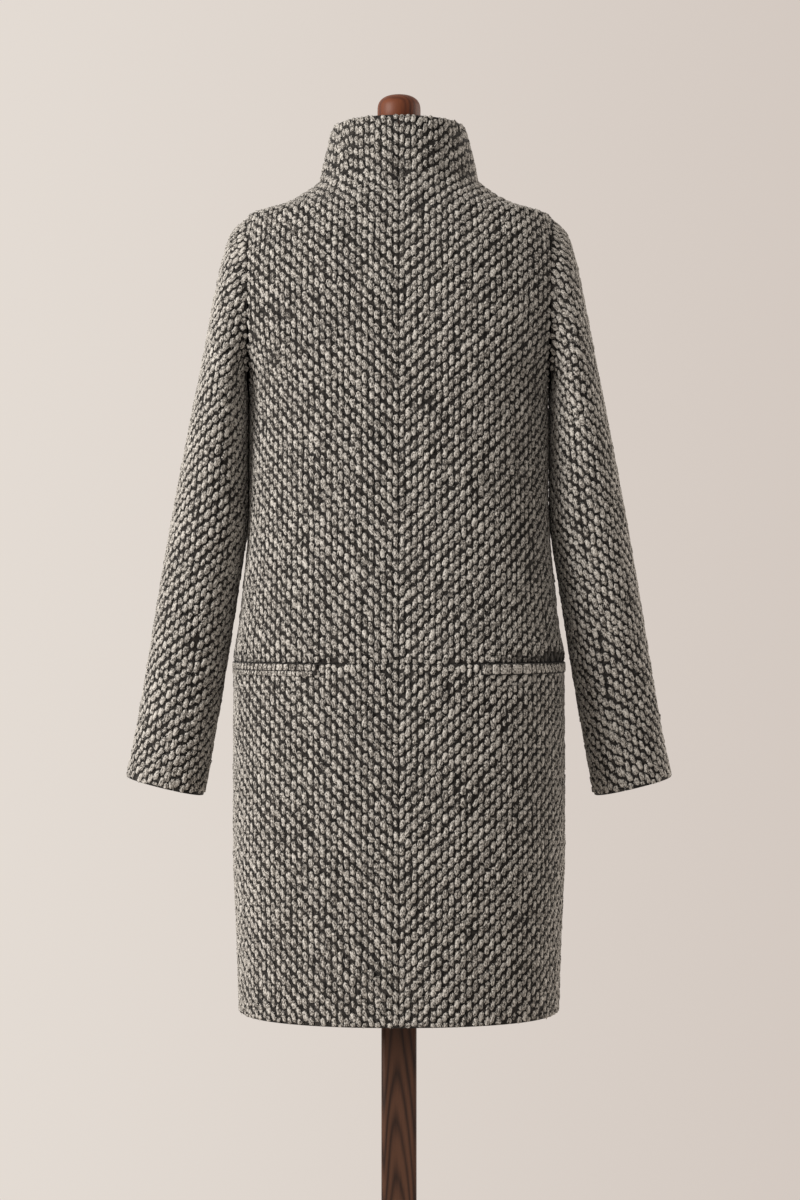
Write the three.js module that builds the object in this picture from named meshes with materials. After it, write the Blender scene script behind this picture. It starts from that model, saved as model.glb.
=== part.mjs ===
// A wool overcoat with a grown-on funnel collar, resting on a limbless dress form on a post.
// Millimetres, +Z up. The coat's back faces +Y, its left side +X, and the floor is z = 0.

import * as THREE from "three";

// Cloth
const WALL = 3; // thickness of the heavy wool coating
const SEAM_GAP = 0.3; // between pieces that are sewn together
const LAY_GAP = 0.3; // between a piece and the panel that it lies on

// Heights of the coat's level edges and seams
const COLLAR_TOP_Z = 1502;
const HIP_SEAM_Z = 915;
const HEM_Z = 533.5;

// Horizontal rings of the coat's body, from the collar's top edge down to the hem.
// back and front are the half depths behind and before the middle, power is the ring's squareness.
const BODY_RINGS = [
  { z: 1502, halfWidth: 73.3, back: 71, front: 75, power: 2.0 },
  { z: 1481, halfWidth: 78, back: 72, front: 76, power: 2.0 },
  { z: 1455, halfWidth: 84.5, back: 74, front: 78, power: 2.0 },
  { z: 1442, halfWidth: 87, back: 76, front: 80, power: 2.0 },
  { z: 1435, halfWidth: 93.5, back: 78, front: 81, power: 2.0 },
  { z: 1428, halfWidth: 103.5, back: 80, front: 82, power: 2.0 },
  { z: 1415, halfWidth: 128, back: 86, front: 85, power: 2.0 },
  { z: 1402, halfWidth: 166, back: 90, front: 88, power: 2.05 },
  { z: 1360, halfWidth: 172, back: 104, front: 98, power: 2.25 },
  { z: 1300, halfWidth: 172, back: 113, front: 108, power: 2.4 },
  { z: 1212, halfWidth: 164.5, back: 115, front: 114, power: 2.4 },
  { z: 1100, halfWidth: 163.5, back: 115, front: 114, power: 2.4 },
  { z: 1050, halfWidth: 165.5, back: 117, front: 115, power: 2.4 },
  { z: 1010, halfWidth: 169.3, back: 120, front: 118, power: 2.4 },
  { z: 960, halfWidth: 174.3, back: 124, front: 122, power: 2.4 },
  { z: 915, halfWidth: 181, back: 128, front: 126, power: 2.4 },
  { z: 720, halfWidth: 181.5, back: 129, front: 128, power: 2.35 },
  { z: 610, halfWidth: 177.5, back: 127.5, front: 127, power: 2.3 },
  { z: 533.5, halfWidth: 175, back: 126, front: 126, power: 2.35 },
];

// Levels of the panel rows outside the armhole, whose own rows follow its curve
const COLLAR_ROWS = [1502, 1492, 1481, 1468, 1455, 1447, 1442, 1438, 1433, 1428, 1422, 1415, 1408];
const CHEST_ROWS = [1196, 1170, 1135, 1095, 1058, 1028, 1000, 970, 942, 915];
const SKIRT_ROWS = [915, 903, 870, 820, 770, 720, 665, 610, 570, 533.5];

// The armhole: a curve seen from the side as an upright oval, scooped in a little at its middle
const ARMHOLE = { topX: 166, topZ: 1402, bottomX: 164.5, bottomZ: 1212, halfDepth: 64, lowFullness: 5, scoop: 3 };
const ARMHOLE_STEPS = 12; // rows from its top to its bottom

// Front closing: the right front laps over the left one
const LAP = 28; // reach of each front past the middle
const LAP_GAP = 0.6; // between the two layers
const LAP_START_X = 50; // where the under layer starts to step in
const LAP_FULL_X = 31; // where it has stepped in fully
const LAP_COLUMNS = [-LAP, -14, 0, 15, LAP_FULL_X, LAP_START_X];
const FRONT_COLUMNS = 7; // from the lap to the side
const BACK_COLUMNS = 9; // from the centre-back seam to the side

// Sleeve rings, from the armhole to the cuff. outer and inner are the ends of the ring's width,
// seen from behind, and halfDepth is half its depth from front to back about middleY.
const SLEEVE_RINGS = [
  { step: 0, outerX: 166, outerZ: 1402, innerX: 164.5, innerZ: 1212, halfDepth: 64, middleY: 0 },
  { step: 1, outerX: 184, outerZ: 1384, innerX: 165.6, innerZ: 1209.6, halfDepth: 66, middleY: 0 },
  { step: 2, outerX: 196, outerZ: 1344, innerX: 165.5, innerZ: 1204, halfDepth: 69, middleY: 0 },
  { step: 3, outerX: 206, outerZ: 1294, innerX: 165.3, innerZ: 1195, halfDepth: 71, middleY: 1 },
  { step: 4, outerX: 216.5, outerZ: 1238, innerX: 165.1, innerZ: 1182, halfDepth: 70, middleY: 2 },
  { step: 5, outerX: 228.5, outerZ: 1178, innerX: 164.9, innerZ: 1155, halfDepth: 67, middleY: 3 },
  { step: 6, outerX: 244, outerZ: 1098, innerX: 165.2, innerZ: 1080, halfDepth: 60, middleY: 3 },
  { step: 7, outerX: 260.5, outerZ: 1008, innerX: 177.5, innerZ: 988, halfDepth: 54, middleY: 0 },
  { step: 8, outerX: 275.5, outerZ: 920, innerX: 191.5, innerZ: 900, halfDepth: 49, middleY: -6 },
  { step: 9, outerX: 288, outerZ: 850, innerX: 204, innerZ: 829, halfDepth: 45.5, middleY: -12 },
  { step: 10, outerX: 301.5, outerZ: 787, innerX: 215.5, innerZ: 766, halfDepth: 43, middleY: -18 },
];
const SLEEVE_POWER = 2.15; // squareness of a sleeve ring
const SLEEVE_BLEND = 3; // steps over which the armhole's curve turns into a plain ring
const SLEEVE_STEPS = [0, 0.4, 0.8, 1.3, 1.8, 2.4, 3, 3.7, 4.4, 5.1, 5.8, 6.5, 7.2, 7.9, 8.6, 9.3, 10];
const SLEEVE_COLUMNS = 24; // all round
const HIND_SEAM = 7; // column of the seam at the back of the arm, counted from the top
const FORE_SEAM = 16; // column of the seam at the front of the arm

// Pocket welts in the hip seam
const WELT_START_X = 86; // inner end, on the back
const WELT_END_X = 170; // outer end, past the side on the front
const WELT_THICKNESS = 2.4;

// Dress form. The coat rests on its shoulders.
const SEAT_GAP = 0.4;
const FORM_CLEARANCE = 6; // extra room beside the neck, clear of the front lap
const FORM_RINGS = [
  { z: 1488, halfWidth: 55, back: 55, front: 55, power: 2.0 },
  { z: 1476, halfWidth: 56, back: 56, front: 57, power: 2.0 },
  { z: 1464, halfWidth: 60, back: 58, front: 60, power: 2.0 },
  { z: 1454, halfWidth: 68, back: 61, front: 63, power: 2.0 },
  { z: 1385, halfWidth: 162, back: 86, front: 84, power: 2.1 },
  { z: 1350, halfWidth: 160, back: 95, front: 90, power: 2.25 },
  { z: 1300, halfWidth: 158.5, back: 102, front: 97, power: 2.3 },
  { z: 1250, halfWidth: 157, back: 103, front: 100, power: 2.3 },
  { z: 1200, halfWidth: 154, back: 101, front: 99, power: 2.3 },
  { z: 1140, halfWidth: 147, back: 96, front: 95, power: 2.25 },
  { z: 1080, halfWidth: 142, back: 93, front: 92, power: 2.2 },
  { z: 1020, halfWidth: 146, back: 97, front: 94, power: 2.2 },
  { z: 950, halfWidth: 158, back: 106, front: 99, power: 2.25 },
  { z: 880, halfWidth: 164, back: 110, front: 103, power: 2.3 },
  { z: 830, halfWidth: 163, back: 109, front: 103, power: 2.3 },
  { z: 804, halfWidth: 160, back: 106, front: 100, power: 2.3 },
  { z: 800, halfWidth: 155, back: 101, front: 95, power: 2.3 },
];
const FORM_SEAT_ROWS = [1438, 1433, 1428, 1422, 1415, 1408, 1402]; // levels of the coat that it follows
const FORM_COLUMNS = 36;

// Stand
const CAP = { radius: 54, thickness: 7, round: 3 };
const FINIAL = { radius: 23.7, topZ: 1537, domeHeight: 17, squareness: 2.6 };
const POST = { width: 38.5, round: 5 };
const BASE = { radius: 195, thickness: 25, round: 7 };

// Colours, as seen in daylight
const COAT_COLOR = "#77716a";
const WELT_COLOR = "#8b8379";
const LINEN_COLOR = "#cbbda4";
const WALNUT_COLOR = "#4a2c1f";
const FINIAL_COLOR = "#6a3a28";

const BACK = 1;
const FRONT = -1;
const HALF_TURN = Math.PI;
const QUARTER_TURN = Math.PI / 2;

const signedPower = (value, power) => Math.sign(value) * Math.abs(value) ** power;
const mix = (a, b, share) => a + (b - a) * share;

function smoothStep(share) {
  const s = Math.min(1, Math.max(0, share));
  return s * s * (3 - 2 * s);
}

// A smooth curve through one column of a table, which never overshoots its rows
function column(rows, along, name) {
  const at = rows.map((row) => row[along]);
  const values = rows.map((row) => row[name]);
  const rises = at.slice(1).map((x, i) => (values[i + 1] - values[i]) / (x - at[i]));
  const slopes = at.map((_, i) => {
    const before = rises[Math.max(0, i - 1)];
    const after = rises[Math.min(rises.length - 1, i)];
    return before * after <= 0 ? 0 : (2 * before * after) / (before + after);
  });
  const rising = at[1] > at[0];
  return (x) => {
    let i = at.findIndex((edge) => (rising ? x < edge : x > edge)) - 1;
    if (i === -2) i = at.length - 2;
    i = Math.max(0, i);
    const width = at[i + 1] - at[i];
    const s = Math.min(1, Math.max(0, (x - at[i]) / width));
    const bend = s * s * (3 - 2 * s);
    const start = s * (1 - s) * (1 - s) * width * slopes[i];
    const end = s * s * (1 - s) * width * slopes[i + 1];
    return mix(values[i], values[i + 1], bend) + start - end;
  };
}

// Every column of a table but the one that it runs along
function columns(rows, along) {
  const names = Object.keys(rows[0]).filter((name) => name !== along);
  return Object.fromEntries(names.map((name) => [name, column(rows, along, name)]));
}

const body = columns(BODY_RINGS, "z");
const sleeve = columns(SLEEVE_RINGS, "step");
const form = columns(FORM_RINGS, "z");

// Armhole

function armholePoint(angle) {
  const drop = (1 - Math.cos(angle)) / 2;
  const z = mix(ARMHOLE.topZ, ARMHOLE.bottomZ, drop);
  const halfDepth = ARMHOLE.halfDepth + ARMHOLE.lowFullness * smoothStep(drop);
  const x = mix(ARMHOLE.topX, ARMHOLE.bottomX, drop) - ARMHOLE.scoop * Math.sin(angle) ** 2;
  return new THREE.Vector3(x, halfDepth * Math.sin(angle), z);
}

function armholeAngle(z) {
  const middle = (ARMHOLE.topZ + ARMHOLE.bottomZ) / 2;
  const reach = (ARMHOLE.topZ - ARMHOLE.bottomZ) / 2;
  return Math.acos(Math.min(1, Math.max(-1, (z - middle) / reach)));
}

const crossesArmhole = (z) => z < ARMHOLE.topZ && z > ARMHOLE.bottomZ;
const armholeRows = Array.from({ length: ARMHOLE_STEPS + 1 }, (_, i) => {
  return armholePoint((HALF_TURN * i) / ARMHOLE_STEPS).z;
});

// Body surface

// The ring at a level. Beside an armhole it is widened so that it meets the armhole's curve.
function bodyRing(z, face) {
  const depth = face === BACK ? body.back(z) : body.front(z);
  const power = body.power(z);
  if (!crossesArmhole(z)) return { depth, power, halfWidth: body.halfWidth(z), reach: QUARTER_TURN };
  const edge = armholePoint(armholeAngle(z));
  const share = (1 - (edge.y / depth) ** power) ** (1 / power);
  return { depth, power, halfWidth: edge.x / share, reach: Math.asin(share ** (power / 2)) };
}

// A point of the left half, at an angle from the middle of the back or of the front
function bodyPoint(z, face, angle) {
  const ring = bodyRing(z, face);
  const x = ring.halfWidth * signedPower(Math.sin(angle), 2 / ring.power);
  const y = face * ring.depth * signedPower(Math.cos(angle), 2 / ring.power);
  return new THREE.Vector3(x, y, z);
}

function bodyNormal(z, face, angle) {
  const nudge = 0.5;
  const ring = bodyRing(z, face);
  const above = bodyRing(z + nudge, face);
  const below = bodyRing(z - nudge, face);
  const across = signedPower(Math.sin(angle), 2 / ring.power);
  const along = Math.abs(Math.cos(angle)) ** (2 / ring.power);
  const widening = (above.halfWidth - below.halfWidth) / (2 * nudge) / ring.halfWidth;
  const deepening = (above.depth - below.depth) / (2 * nudge) / ring.depth;
  return new THREE.Vector3(
    signedPower(across, ring.power - 1) / ring.halfWidth,
    (face * along ** (ring.power - 1)) / ring.depth,
    -(Math.abs(across) ** ring.power * widening + along ** ring.power * deepening),
  ).normalize();
}

// The angle at which a ring passes a distance from the middle
function angleAt(z, face, x) {
  const ring = bodyRing(z, face);
  return Math.asin(signedPower(x / ring.halfWidth, ring.power / 2));
}

// Sleeve surface

function sleeveRingPoint(step, angle) {
  const across = (1 + signedPower(Math.cos(angle), 2 / SLEEVE_POWER)) / 2;
  const deep = signedPower(Math.sin(angle), 2 / SLEEVE_POWER);
  return new THREE.Vector3(
    mix(sleeve.innerX(step), sleeve.outerX(step), across),
    sleeve.middleY(step) + sleeve.halfDepth(step) * deep,
    mix(sleeve.innerZ(step), sleeve.outerZ(step), across),
  );
}

function sleevePoint(step, angle) {
  const held = 1 - smoothStep(step / SLEEVE_BLEND);
  const pull = armholePoint(angle).sub(sleeveRingPoint(0, angle));
  return sleeveRingPoint(step, angle).addScaledVector(pull, held);
}

function sleeveNormal(step, angle) {
  const nudge = 0.02;
  const round = sleevePoint(step, angle + nudge).sub(sleevePoint(step, angle - nudge));
  const down = sleevePoint(Math.min(10, step + nudge), angle);
  down.sub(sleevePoint(Math.max(0, step - nudge), angle));
  return new THREE.Vector3().crossVectors(down, round).normalize();
}

// The shared slope of the two cut edges at the armhole, so that body and sleeve meet edge to edge
function armholeMitre(angle) {
  const face = angle <= HALF_TURN ? BACK : FRONT;
  const side = face === BACK ? angle : 2 * HALF_TURN - angle;
  const z = armholePoint(side).z;
  const outward = bodyNormal(z, face, bodyRing(z, face).reach);
  const mitre = outward.clone().add(sleeveNormal(0, angle)).normalize();
  return mitre.multiplyScalar(WALL / Math.max(0.6, mitre.dot(outward)));
}

// Solids

// A closed wall between an outer and an inner grid of points
function wallGeometry(outer, inner) {
  const rows = outer.length;
  const across = outer[0].length;
  const points = [...outer.flat(), ...inner.flat()];
  const offset = rows * across;
  const index = [];
  const quad = (a, b, c, d) => index.push(a, b, c, a, c, d);
  const out = (i, j) => i * across + j;
  const back = (i, j) => offset + out(i, j);
  for (let i = 0; i + 1 < rows; i++) {
    for (let j = 0; j + 1 < across; j++) {
      quad(out(i, j), out(i + 1, j), out(i + 1, j + 1), out(i, j + 1));
      quad(back(i, j), back(i, j + 1), back(i + 1, j + 1), back(i + 1, j));
    }
  }
  for (let i = 0; i + 1 < rows; i++) {
    quad(out(i, 0), back(i, 0), back(i + 1, 0), out(i + 1, 0));
    quad(out(i, across - 1), out(i + 1, across - 1), back(i + 1, across - 1), back(i, across - 1));
  }
  for (let j = 0; j + 1 < across; j++) {
    quad(out(0, j), out(0, j + 1), back(0, j + 1), back(0, j));
    quad(out(rows - 1, j), back(rows - 1, j), back(rows - 1, j + 1), out(rows - 1, j + 1));
  }
  return facingOut(points, index);
}

// A closed solid through rings of points, with a flat face at each end
function loftGeometry(rings) {
  const around = rings[0].length;
  const points = rings.flat();
  const index = [];
  for (let i = 0; i + 1 < rings.length; i++) {
    for (let j = 0; j < around; j++) {
      const next = (j + 1) % around;
      const [a, b] = [i * around + j, i * around + next];
      index.push(a, a + around, b, b, a + around, b + around);
    }
  }
  for (const [ring, turned] of [[0, false], [rings.length - 1, true]]) {
    const middle = new THREE.Vector3();
    rings[ring].forEach((point) => middle.addScaledVector(point, 1 / around));
    const centre = points.push(middle) - 1;
    for (let j = 0; j < around; j++) {
      const [a, b] = [ring * around + j, ring * around + ((j + 1) % around)];
      index.push(centre, turned ? b : a, turned ? a : b);
    }
  }
  return facingOut(points, index);
}

// Turns the triangles round if the solid's volume comes out negative
function facingOut(points, index) {
  let volume = 0;
  for (let i = 0; i < index.length; i += 3) {
    const [a, b, c] = [points[index[i]], points[index[i + 1]], points[index[i + 2]]];
    volume += a.dot(new THREE.Vector3().crossVectors(b, c));
  }
  if (volume < 0) index.reverse();
  const geometry = new THREE.BufferGeometry().setFromPoints(points);
  geometry.setIndex(index);
  geometry.computeVertexNormals();
  return geometry;
}

const mirrored = (grid) => grid.map((row) => row.map((p) => new THREE.Vector3(-p.x, p.y, p.z)));

function wallOnSide(side, outer, inner) {
  return side === "left" ? wallGeometry(outer, inner) : wallGeometry(mirrored(outer), mirrored(inner));
}

// Body panels

function panelAngles(z, face) {
  const { reach } = bodyRing(z, face);
  if (face === BACK) return Array.from({ length: BACK_COLUMNS + 1 }, (_, j) => (reach * j) / BACK_COLUMNS);
  const lap = LAP_COLUMNS.map((x) => angleAt(z, face, x));
  const last = lap[lap.length - 1];
  const rest = Array.from({ length: FRONT_COLUMNS }, (_, j) => mix(last, reach, (j + 1) / FRONT_COLUMNS));
  return [...lap, ...rest];
}

// How far the under layer of the front steps in
function lapDrop(x) {
  const share = (LAP_START_X - x) / (LAP_START_X - LAP_FULL_X);
  return (WALL + LAP_GAP) * smoothStep(share);
}

function bodyPanel(side, face, rows) {
  const under = face === FRONT && side === "left";
  const levelEdges = [COLLAR_TOP_Z, HIP_SEAM_Z, HEM_Z];
  const outer = [];
  const inner = [];
  for (const z of rows) {
    const angles = panelAngles(z, face);
    const outerRow = [];
    const innerRow = [];
    angles.forEach((angle, j) => {
      const normal = bodyNormal(z, face, angle);
      const point = bodyPoint(z, face, angle);
      const drop = under ? lapDrop(point.x) : 0;
      const out = point.clone().addScaledVector(normal, -drop);
      const back = point.clone().addScaledVector(normal, -drop - WALL);
      const atSide = j === angles.length - 1;
      if (atSide && z <= ARMHOLE.topZ && z >= ARMHOLE.bottomZ) {
        const around = face === BACK ? armholeAngle(z) : 2 * HALF_TURN - armholeAngle(z);
        back.copy(point).sub(armholeMitre(around));
      }
      if (atSide && !crossesArmhole(z)) out.y = back.y = (face * SEAM_GAP) / 2;
      if (j === 0 && face === BACK) out.x = back.x = SEAM_GAP / 2;
      if (j === 0 && face === FRONT) back.x = out.x;
      if (levelEdges.includes(z)) back.z = out.z;
      outerRow.push(out);
      innerRow.push(back);
    });
    outer.push(outerRow);
    inner.push(innerRow);
  }
  return [outer, inner];
}

// Leaves the seam gap at a panel's level edge by moving that row
function openSeam(grid, row, shift) {
  grid[row].forEach((point) => {
    point.z += shift;
  });
}

function upperPanel(side, face) {
  const [outer, inner] = bodyPanel(side, face, [...COLLAR_ROWS, ...armholeRows, ...CHEST_ROWS]);
  [outer, inner].forEach((grid) => openSeam(grid, grid.length - 1, SEAM_GAP / 2));
  return wallOnSide(side, outer, inner);
}

function lowerPanel(side, face) {
  const [outer, inner] = bodyPanel(side, face, SKIRT_ROWS);
  [outer, inner].forEach((grid) => openSeam(grid, 0, -SEAM_GAP / 2));
  return wallOnSide(side, outer, inner);
}

// Sleeves

function sleevePanel(side, from, to) {
  const outer = [];
  const inner = [];
  for (const step of SLEEVE_STEPS) {
    const outerRow = [];
    const innerRow = [];
    for (let j = from; j <= to; j++) {
      const angle = ((j + SLEEVE_COLUMNS) % SLEEVE_COLUMNS) * ((2 * HALF_TURN) / SLEEVE_COLUMNS);
      const out = sleevePoint(step, angle);
      const back = out.clone().addScaledVector(sleeveNormal(step, angle), -WALL);
      const nudge = 0.01;
      const round = sleevePoint(step, angle + nudge).sub(sleevePoint(step, angle - nudge)).normalize();
      if (step === 0) {
        const mitre = armholeMitre(angle);
        const away = new THREE.Vector3().crossVectors(round, mitre).normalize();
        if (away.x < 0) away.negate();
        back.copy(out).sub(mitre).addScaledVector(away, SEAM_GAP);
        out.addScaledVector(away, SEAM_GAP);
      }
      const inset = j === from ? SEAM_GAP / 2 : j === to ? -SEAM_GAP / 2 : 0;
      outerRow.push(out.addScaledVector(round, inset));
      innerRow.push(back.addScaledVector(round, inset));
    }
    outer.push(outerRow);
    inner.push(innerRow);
  }
  return wallOnSide(side, outer, inner);
}

const topSleeve = (side) => sleevePanel(side, FORE_SEAM - SLEEVE_COLUMNS, HIND_SEAM);
const underSleeve = (side) => sleevePanel(side, HIND_SEAM, FORE_SEAM);

// Pocket welts

// The welt is made from the skirt panels' own corners, moved out, with its ends between two of them
function weltColumns(z) {
  const stops = [];
  const backAngles = panelAngles(z, BACK);
  const frontAngles = panelAngles(z, FRONT);
  const corner = (face, angle) => ({ point: bodyPoint(z, face, angle), normal: bodyNormal(z, face, angle) });
  const between = (a, b, x) => {
    const share = (x - a.point.x) / (b.point.x - a.point.x);
    return { point: a.point.clone().lerp(b.point, share), normal: a.normal.clone().lerp(b.normal, share) };
  };
  const backCorners = backAngles.map((angle) => corner(BACK, angle));
  const first = backCorners.findIndex(({ point }) => point.x > WELT_START_X);
  stops.push(between(backCorners[first - 1], backCorners[first], WELT_START_X), ...backCorners.slice(first));
  const frontCorners = frontAngles.map((angle) => corner(FRONT, angle)).reverse().slice(1);
  const last = frontCorners.findIndex(({ point }) => point.x < WELT_END_X);
  const before = last === 0 ? backCorners[backCorners.length - 1] : frontCorners[last - 1];
  stops.push(...frontCorners.slice(0, last), between(before, frontCorners[last], WELT_END_X));
  return stops;
}

function pocketWelt(side) {
  const rows = SKIRT_ROWS.slice(0, 2).map(weltColumns);
  const lifted = (row, height) => {
    return row.map(({ point, normal }) => point.clone().addScaledVector(normal, height));
  };
  const outer = rows.map((row) => lifted(row, LAY_GAP + WELT_THICKNESS));
  const inner = rows.map((row) => lifted(row, LAY_GAP));
  [outer, inner].forEach((grid) => openSeam(grid, 0, -SEAM_GAP / 2));
  return wallOnSide(side, outer, inner);
}

// Dress form and stand

function formRing(z) {
  return Array.from({ length: FORM_COLUMNS }, (_, j) => {
    const angle = (2 * HALF_TURN * j) / FORM_COLUMNS;
    const depth = Math.cos(angle) > 0 ? form.back(z) : form.front(z);
    const x = form.halfWidth(z) * signedPower(Math.sin(angle), 2 / form.power(z));
    return new THREE.Vector3(x, depth * signedPower(Math.cos(angle), 2 / form.power(z)), z);
  });
}

// A ring just under the coat's shoulders, set deeper beside the neck
function seatRing(z) {
  return Array.from({ length: FORM_COLUMNS }, (_, j) => {
    const angle = (2 * HALF_TURN * j) / FORM_COLUMNS;
    const face = Math.cos(angle) >= 0 ? BACK : FRONT;
    const side = Math.sin(angle) >= 0 ? 1 : -1;
    const own = Math.asin(Math.abs(Math.sin(angle)));
    const point = bodyPoint(z, face, own);
    const depth = WALL + SEAT_GAP + FORM_CLEARANCE * (1 - smoothStep((point.x - 62) / 36));
    point.addScaledVector(bodyNormal(z, face, own), -depth);
    return new THREE.Vector3(side * point.x, point.y, point.z);
  });
}

function formTorso() {
  const levels = FORM_RINGS.map(({ z }) => z);
  const neck = levels.filter((z) => z > FORM_SEAT_ROWS[0]).map(formRing);
  const trunk = levels.filter((z) => z < FORM_SEAT_ROWS[FORM_SEAT_ROWS.length - 1]).map(formRing);
  return loftGeometry([...neck, ...FORM_SEAT_ROWS.map(seatRing), ...trunk]);
}

// A turned piece from half profile points, given as distance from the axis and height
function turned(profile, segments) {
  const points = profile.map(([radius, height]) => new THREE.Vector2(radius, height));
  return new THREE.LatheGeometry(points, segments).rotateX(QUARTER_TURN);
}

function roundedDisc(bottom, { radius, thickness, round }, segments) {
  const corner = (centreZ, from) => {
    return Array.from({ length: 5 }, (_, i) => {
      const angle = from + (QUARTER_TURN * i) / 4;
      return [radius - round + round * Math.cos(angle), centreZ + round * Math.sin(angle)];
    });
  };
  const top = bottom + thickness;
  const lower = corner(bottom + round, -QUARTER_TURN);
  const upper = corner(top - round, 0);
  return turned([[0, bottom], ...lower, ...upper, [0, top]], segments);
}

function finialKnob(bottom) {
  const steps = 8;
  const dome = Array.from({ length: steps }, (_, i) => {
    const angle = (QUARTER_TURN * i) / steps;
    const out = Math.cos(angle) ** (2 / FINIAL.squareness);
    const up = Math.sin(angle) ** (2 / FINIAL.squareness);
    return [FINIAL.radius * out, FINIAL.topZ - FINIAL.domeHeight * (1 - up)];
  });
  return turned([[0, bottom], [FINIAL.radius, bottom], ...dome, [0, FINIAL.topZ]], 32);
}

function postGeometry(bottom, top) {
  const half = POST.width / 2;
  const inset = half - POST.round;
  const outline = new THREE.Shape();
  outline.absarc(inset, inset, POST.round, 0, QUARTER_TURN);
  outline.absarc(-inset, inset, POST.round, QUARTER_TURN, HALF_TURN);
  outline.absarc(-inset, -inset, POST.round, HALF_TURN, HALF_TURN + QUARTER_TURN);
  outline.absarc(inset, -inset, POST.round, HALF_TURN + QUARTER_TURN, 2 * HALF_TURN);
  const extrusion = { depth: top - bottom, bevelEnabled: false, curveSegments: 4 };
  return new THREE.ExtrudeGeometry(outline, extrusion).translate(0, 0, bottom);
}

// The whole part

const coat = new THREE.Group();

function addPiece(name, geometry, color, roughness) {
  geometry.deleteAttribute("uv");
  const piece = new THREE.Mesh(geometry, new THREE.MeshStandardMaterial({ color, roughness, metalness: 0 }));
  piece.name = name;
  coat.add(piece);
}

for (const side of ["left", "right"]) {
  addPiece("back_upper_" + side, upperPanel(side, BACK), COAT_COLOR, 0.95);
  addPiece("front_upper_" + side, upperPanel(side, FRONT), COAT_COLOR, 0.95);
  addPiece("back_lower_" + side, lowerPanel(side, BACK), COAT_COLOR, 0.95);
  addPiece("front_lower_" + side, lowerPanel(side, FRONT), COAT_COLOR, 0.95);
  addPiece("top_sleeve_" + side, topSleeve(side), COAT_COLOR, 0.95);
  addPiece("under_sleeve_" + side, underSleeve(side), COAT_COLOR, 0.95);
  addPiece("pocket_welt_" + side, pocketWelt(side), WELT_COLOR, 0.95);
}

const neckTop = FORM_RINGS[0].z;
const formBottom = FORM_RINGS[FORM_RINGS.length - 1].z;
const capBottom = neckTop + SEAM_GAP;
addPiece("form_torso", formTorso(), LINEN_COLOR, 0.9);
addPiece("neck_cap", roundedDisc(capBottom, CAP, 40), WALNUT_COLOR, 0.5);
addPiece("finial", finialKnob(capBottom + CAP.thickness + SEAM_GAP), FINIAL_COLOR, 0.45);
addPiece("post", postGeometry(BASE.thickness + SEAM_GAP, formBottom - SEAM_GAP), WALNUT_COLOR, 0.5);
addPiece("base", roundedDisc(0, BASE, 56), WALNUT_COLOR, 0.5);

export default coat;
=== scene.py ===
import math

import bmesh
import bpy
import numpy as np
from bpy.props import FloatProperty, FloatVectorProperty, IntProperty, PointerProperty
from mathutils import Matrix, Vector


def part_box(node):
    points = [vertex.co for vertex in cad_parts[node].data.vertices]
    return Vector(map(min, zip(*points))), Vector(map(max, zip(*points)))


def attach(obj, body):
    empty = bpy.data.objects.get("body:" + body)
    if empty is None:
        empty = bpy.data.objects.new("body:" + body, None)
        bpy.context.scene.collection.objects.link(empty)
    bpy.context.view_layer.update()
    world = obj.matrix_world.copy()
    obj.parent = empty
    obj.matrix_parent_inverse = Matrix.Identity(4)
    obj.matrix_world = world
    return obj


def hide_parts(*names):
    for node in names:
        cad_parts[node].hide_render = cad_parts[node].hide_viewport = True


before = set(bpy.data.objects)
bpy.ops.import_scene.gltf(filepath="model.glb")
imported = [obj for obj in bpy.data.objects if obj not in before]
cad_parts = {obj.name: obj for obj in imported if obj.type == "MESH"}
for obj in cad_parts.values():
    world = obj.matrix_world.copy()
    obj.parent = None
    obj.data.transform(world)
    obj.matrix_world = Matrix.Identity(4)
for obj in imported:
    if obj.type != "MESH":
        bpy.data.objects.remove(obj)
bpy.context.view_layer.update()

bl_info = {
    "name": "Wool Overcoat on a Dress Form",
    "version": (1, 0, 0),
    "blender": (4, 5, 0),
    "location": "View3D > Sidebar > Overcoat",
    "description": "Builds a tufted wool overcoat, the dress form it rests on and its studio",
    "category": "Object",
}

MM = 0.001
ROOT = "root"
SIDES = {"left": 1, "right": -1}
BACK = 1
FRONT = -1
TAU = 2 * math.pi

# Cloth, in millimetres
COATING = 3.0  # thickness of the coating with its tufts, as cut and sewn
SEAM_GAP = 0.3
GROUND_DROP = 1.1  # the ground weave lies this far under the coating's full height
GROUND_THICKNESS = 1.9
EDGE_ROUND = 0.8

COLLAR_TOP_Z = 1502.0
HIP_SEAM_Z = 915.0
HEM_Z = 533.5

# Horizontal rings of the coat's body, in millimetres, from the collar's edge down to the hem
BODY_COLUMNS = ("z", "half_width", "back", "front", "power")
BODY_RINGS = (
    (1502, 70.5, 70, 73, 2.0),
    (1495, 74.2, 71, 75, 2.0),
    (1481, 78, 72, 76, 2.0),
    (1455, 84.5, 74, 78, 2.0),
    (1442, 87, 76, 80, 2.0),
    (1435, 93.5, 78, 81, 2.0),
    (1428, 103.5, 80, 82, 2.0),
    (1415, 128, 86, 85, 2.0),
    (1402, 166, 90, 88, 2.05),
    (1360, 172, 104, 98, 2.25),
    (1300, 172, 113, 108, 2.4),
    (1212, 164.5, 115, 114, 2.4),
    (1100, 163.5, 115, 114, 2.4),
    (1050, 165.5, 117, 115, 2.4),
    (1010, 169.3, 120, 118, 2.4),
    (960, 174.3, 124, 122, 2.4),
    (915, 181, 128, 126, 2.4),
    (720, 181.5, 129, 128, 2.35),
    (610, 177.5, 127.5, 127, 2.3),
    (533.5, 175, 126, 126, 2.35),
)

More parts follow.
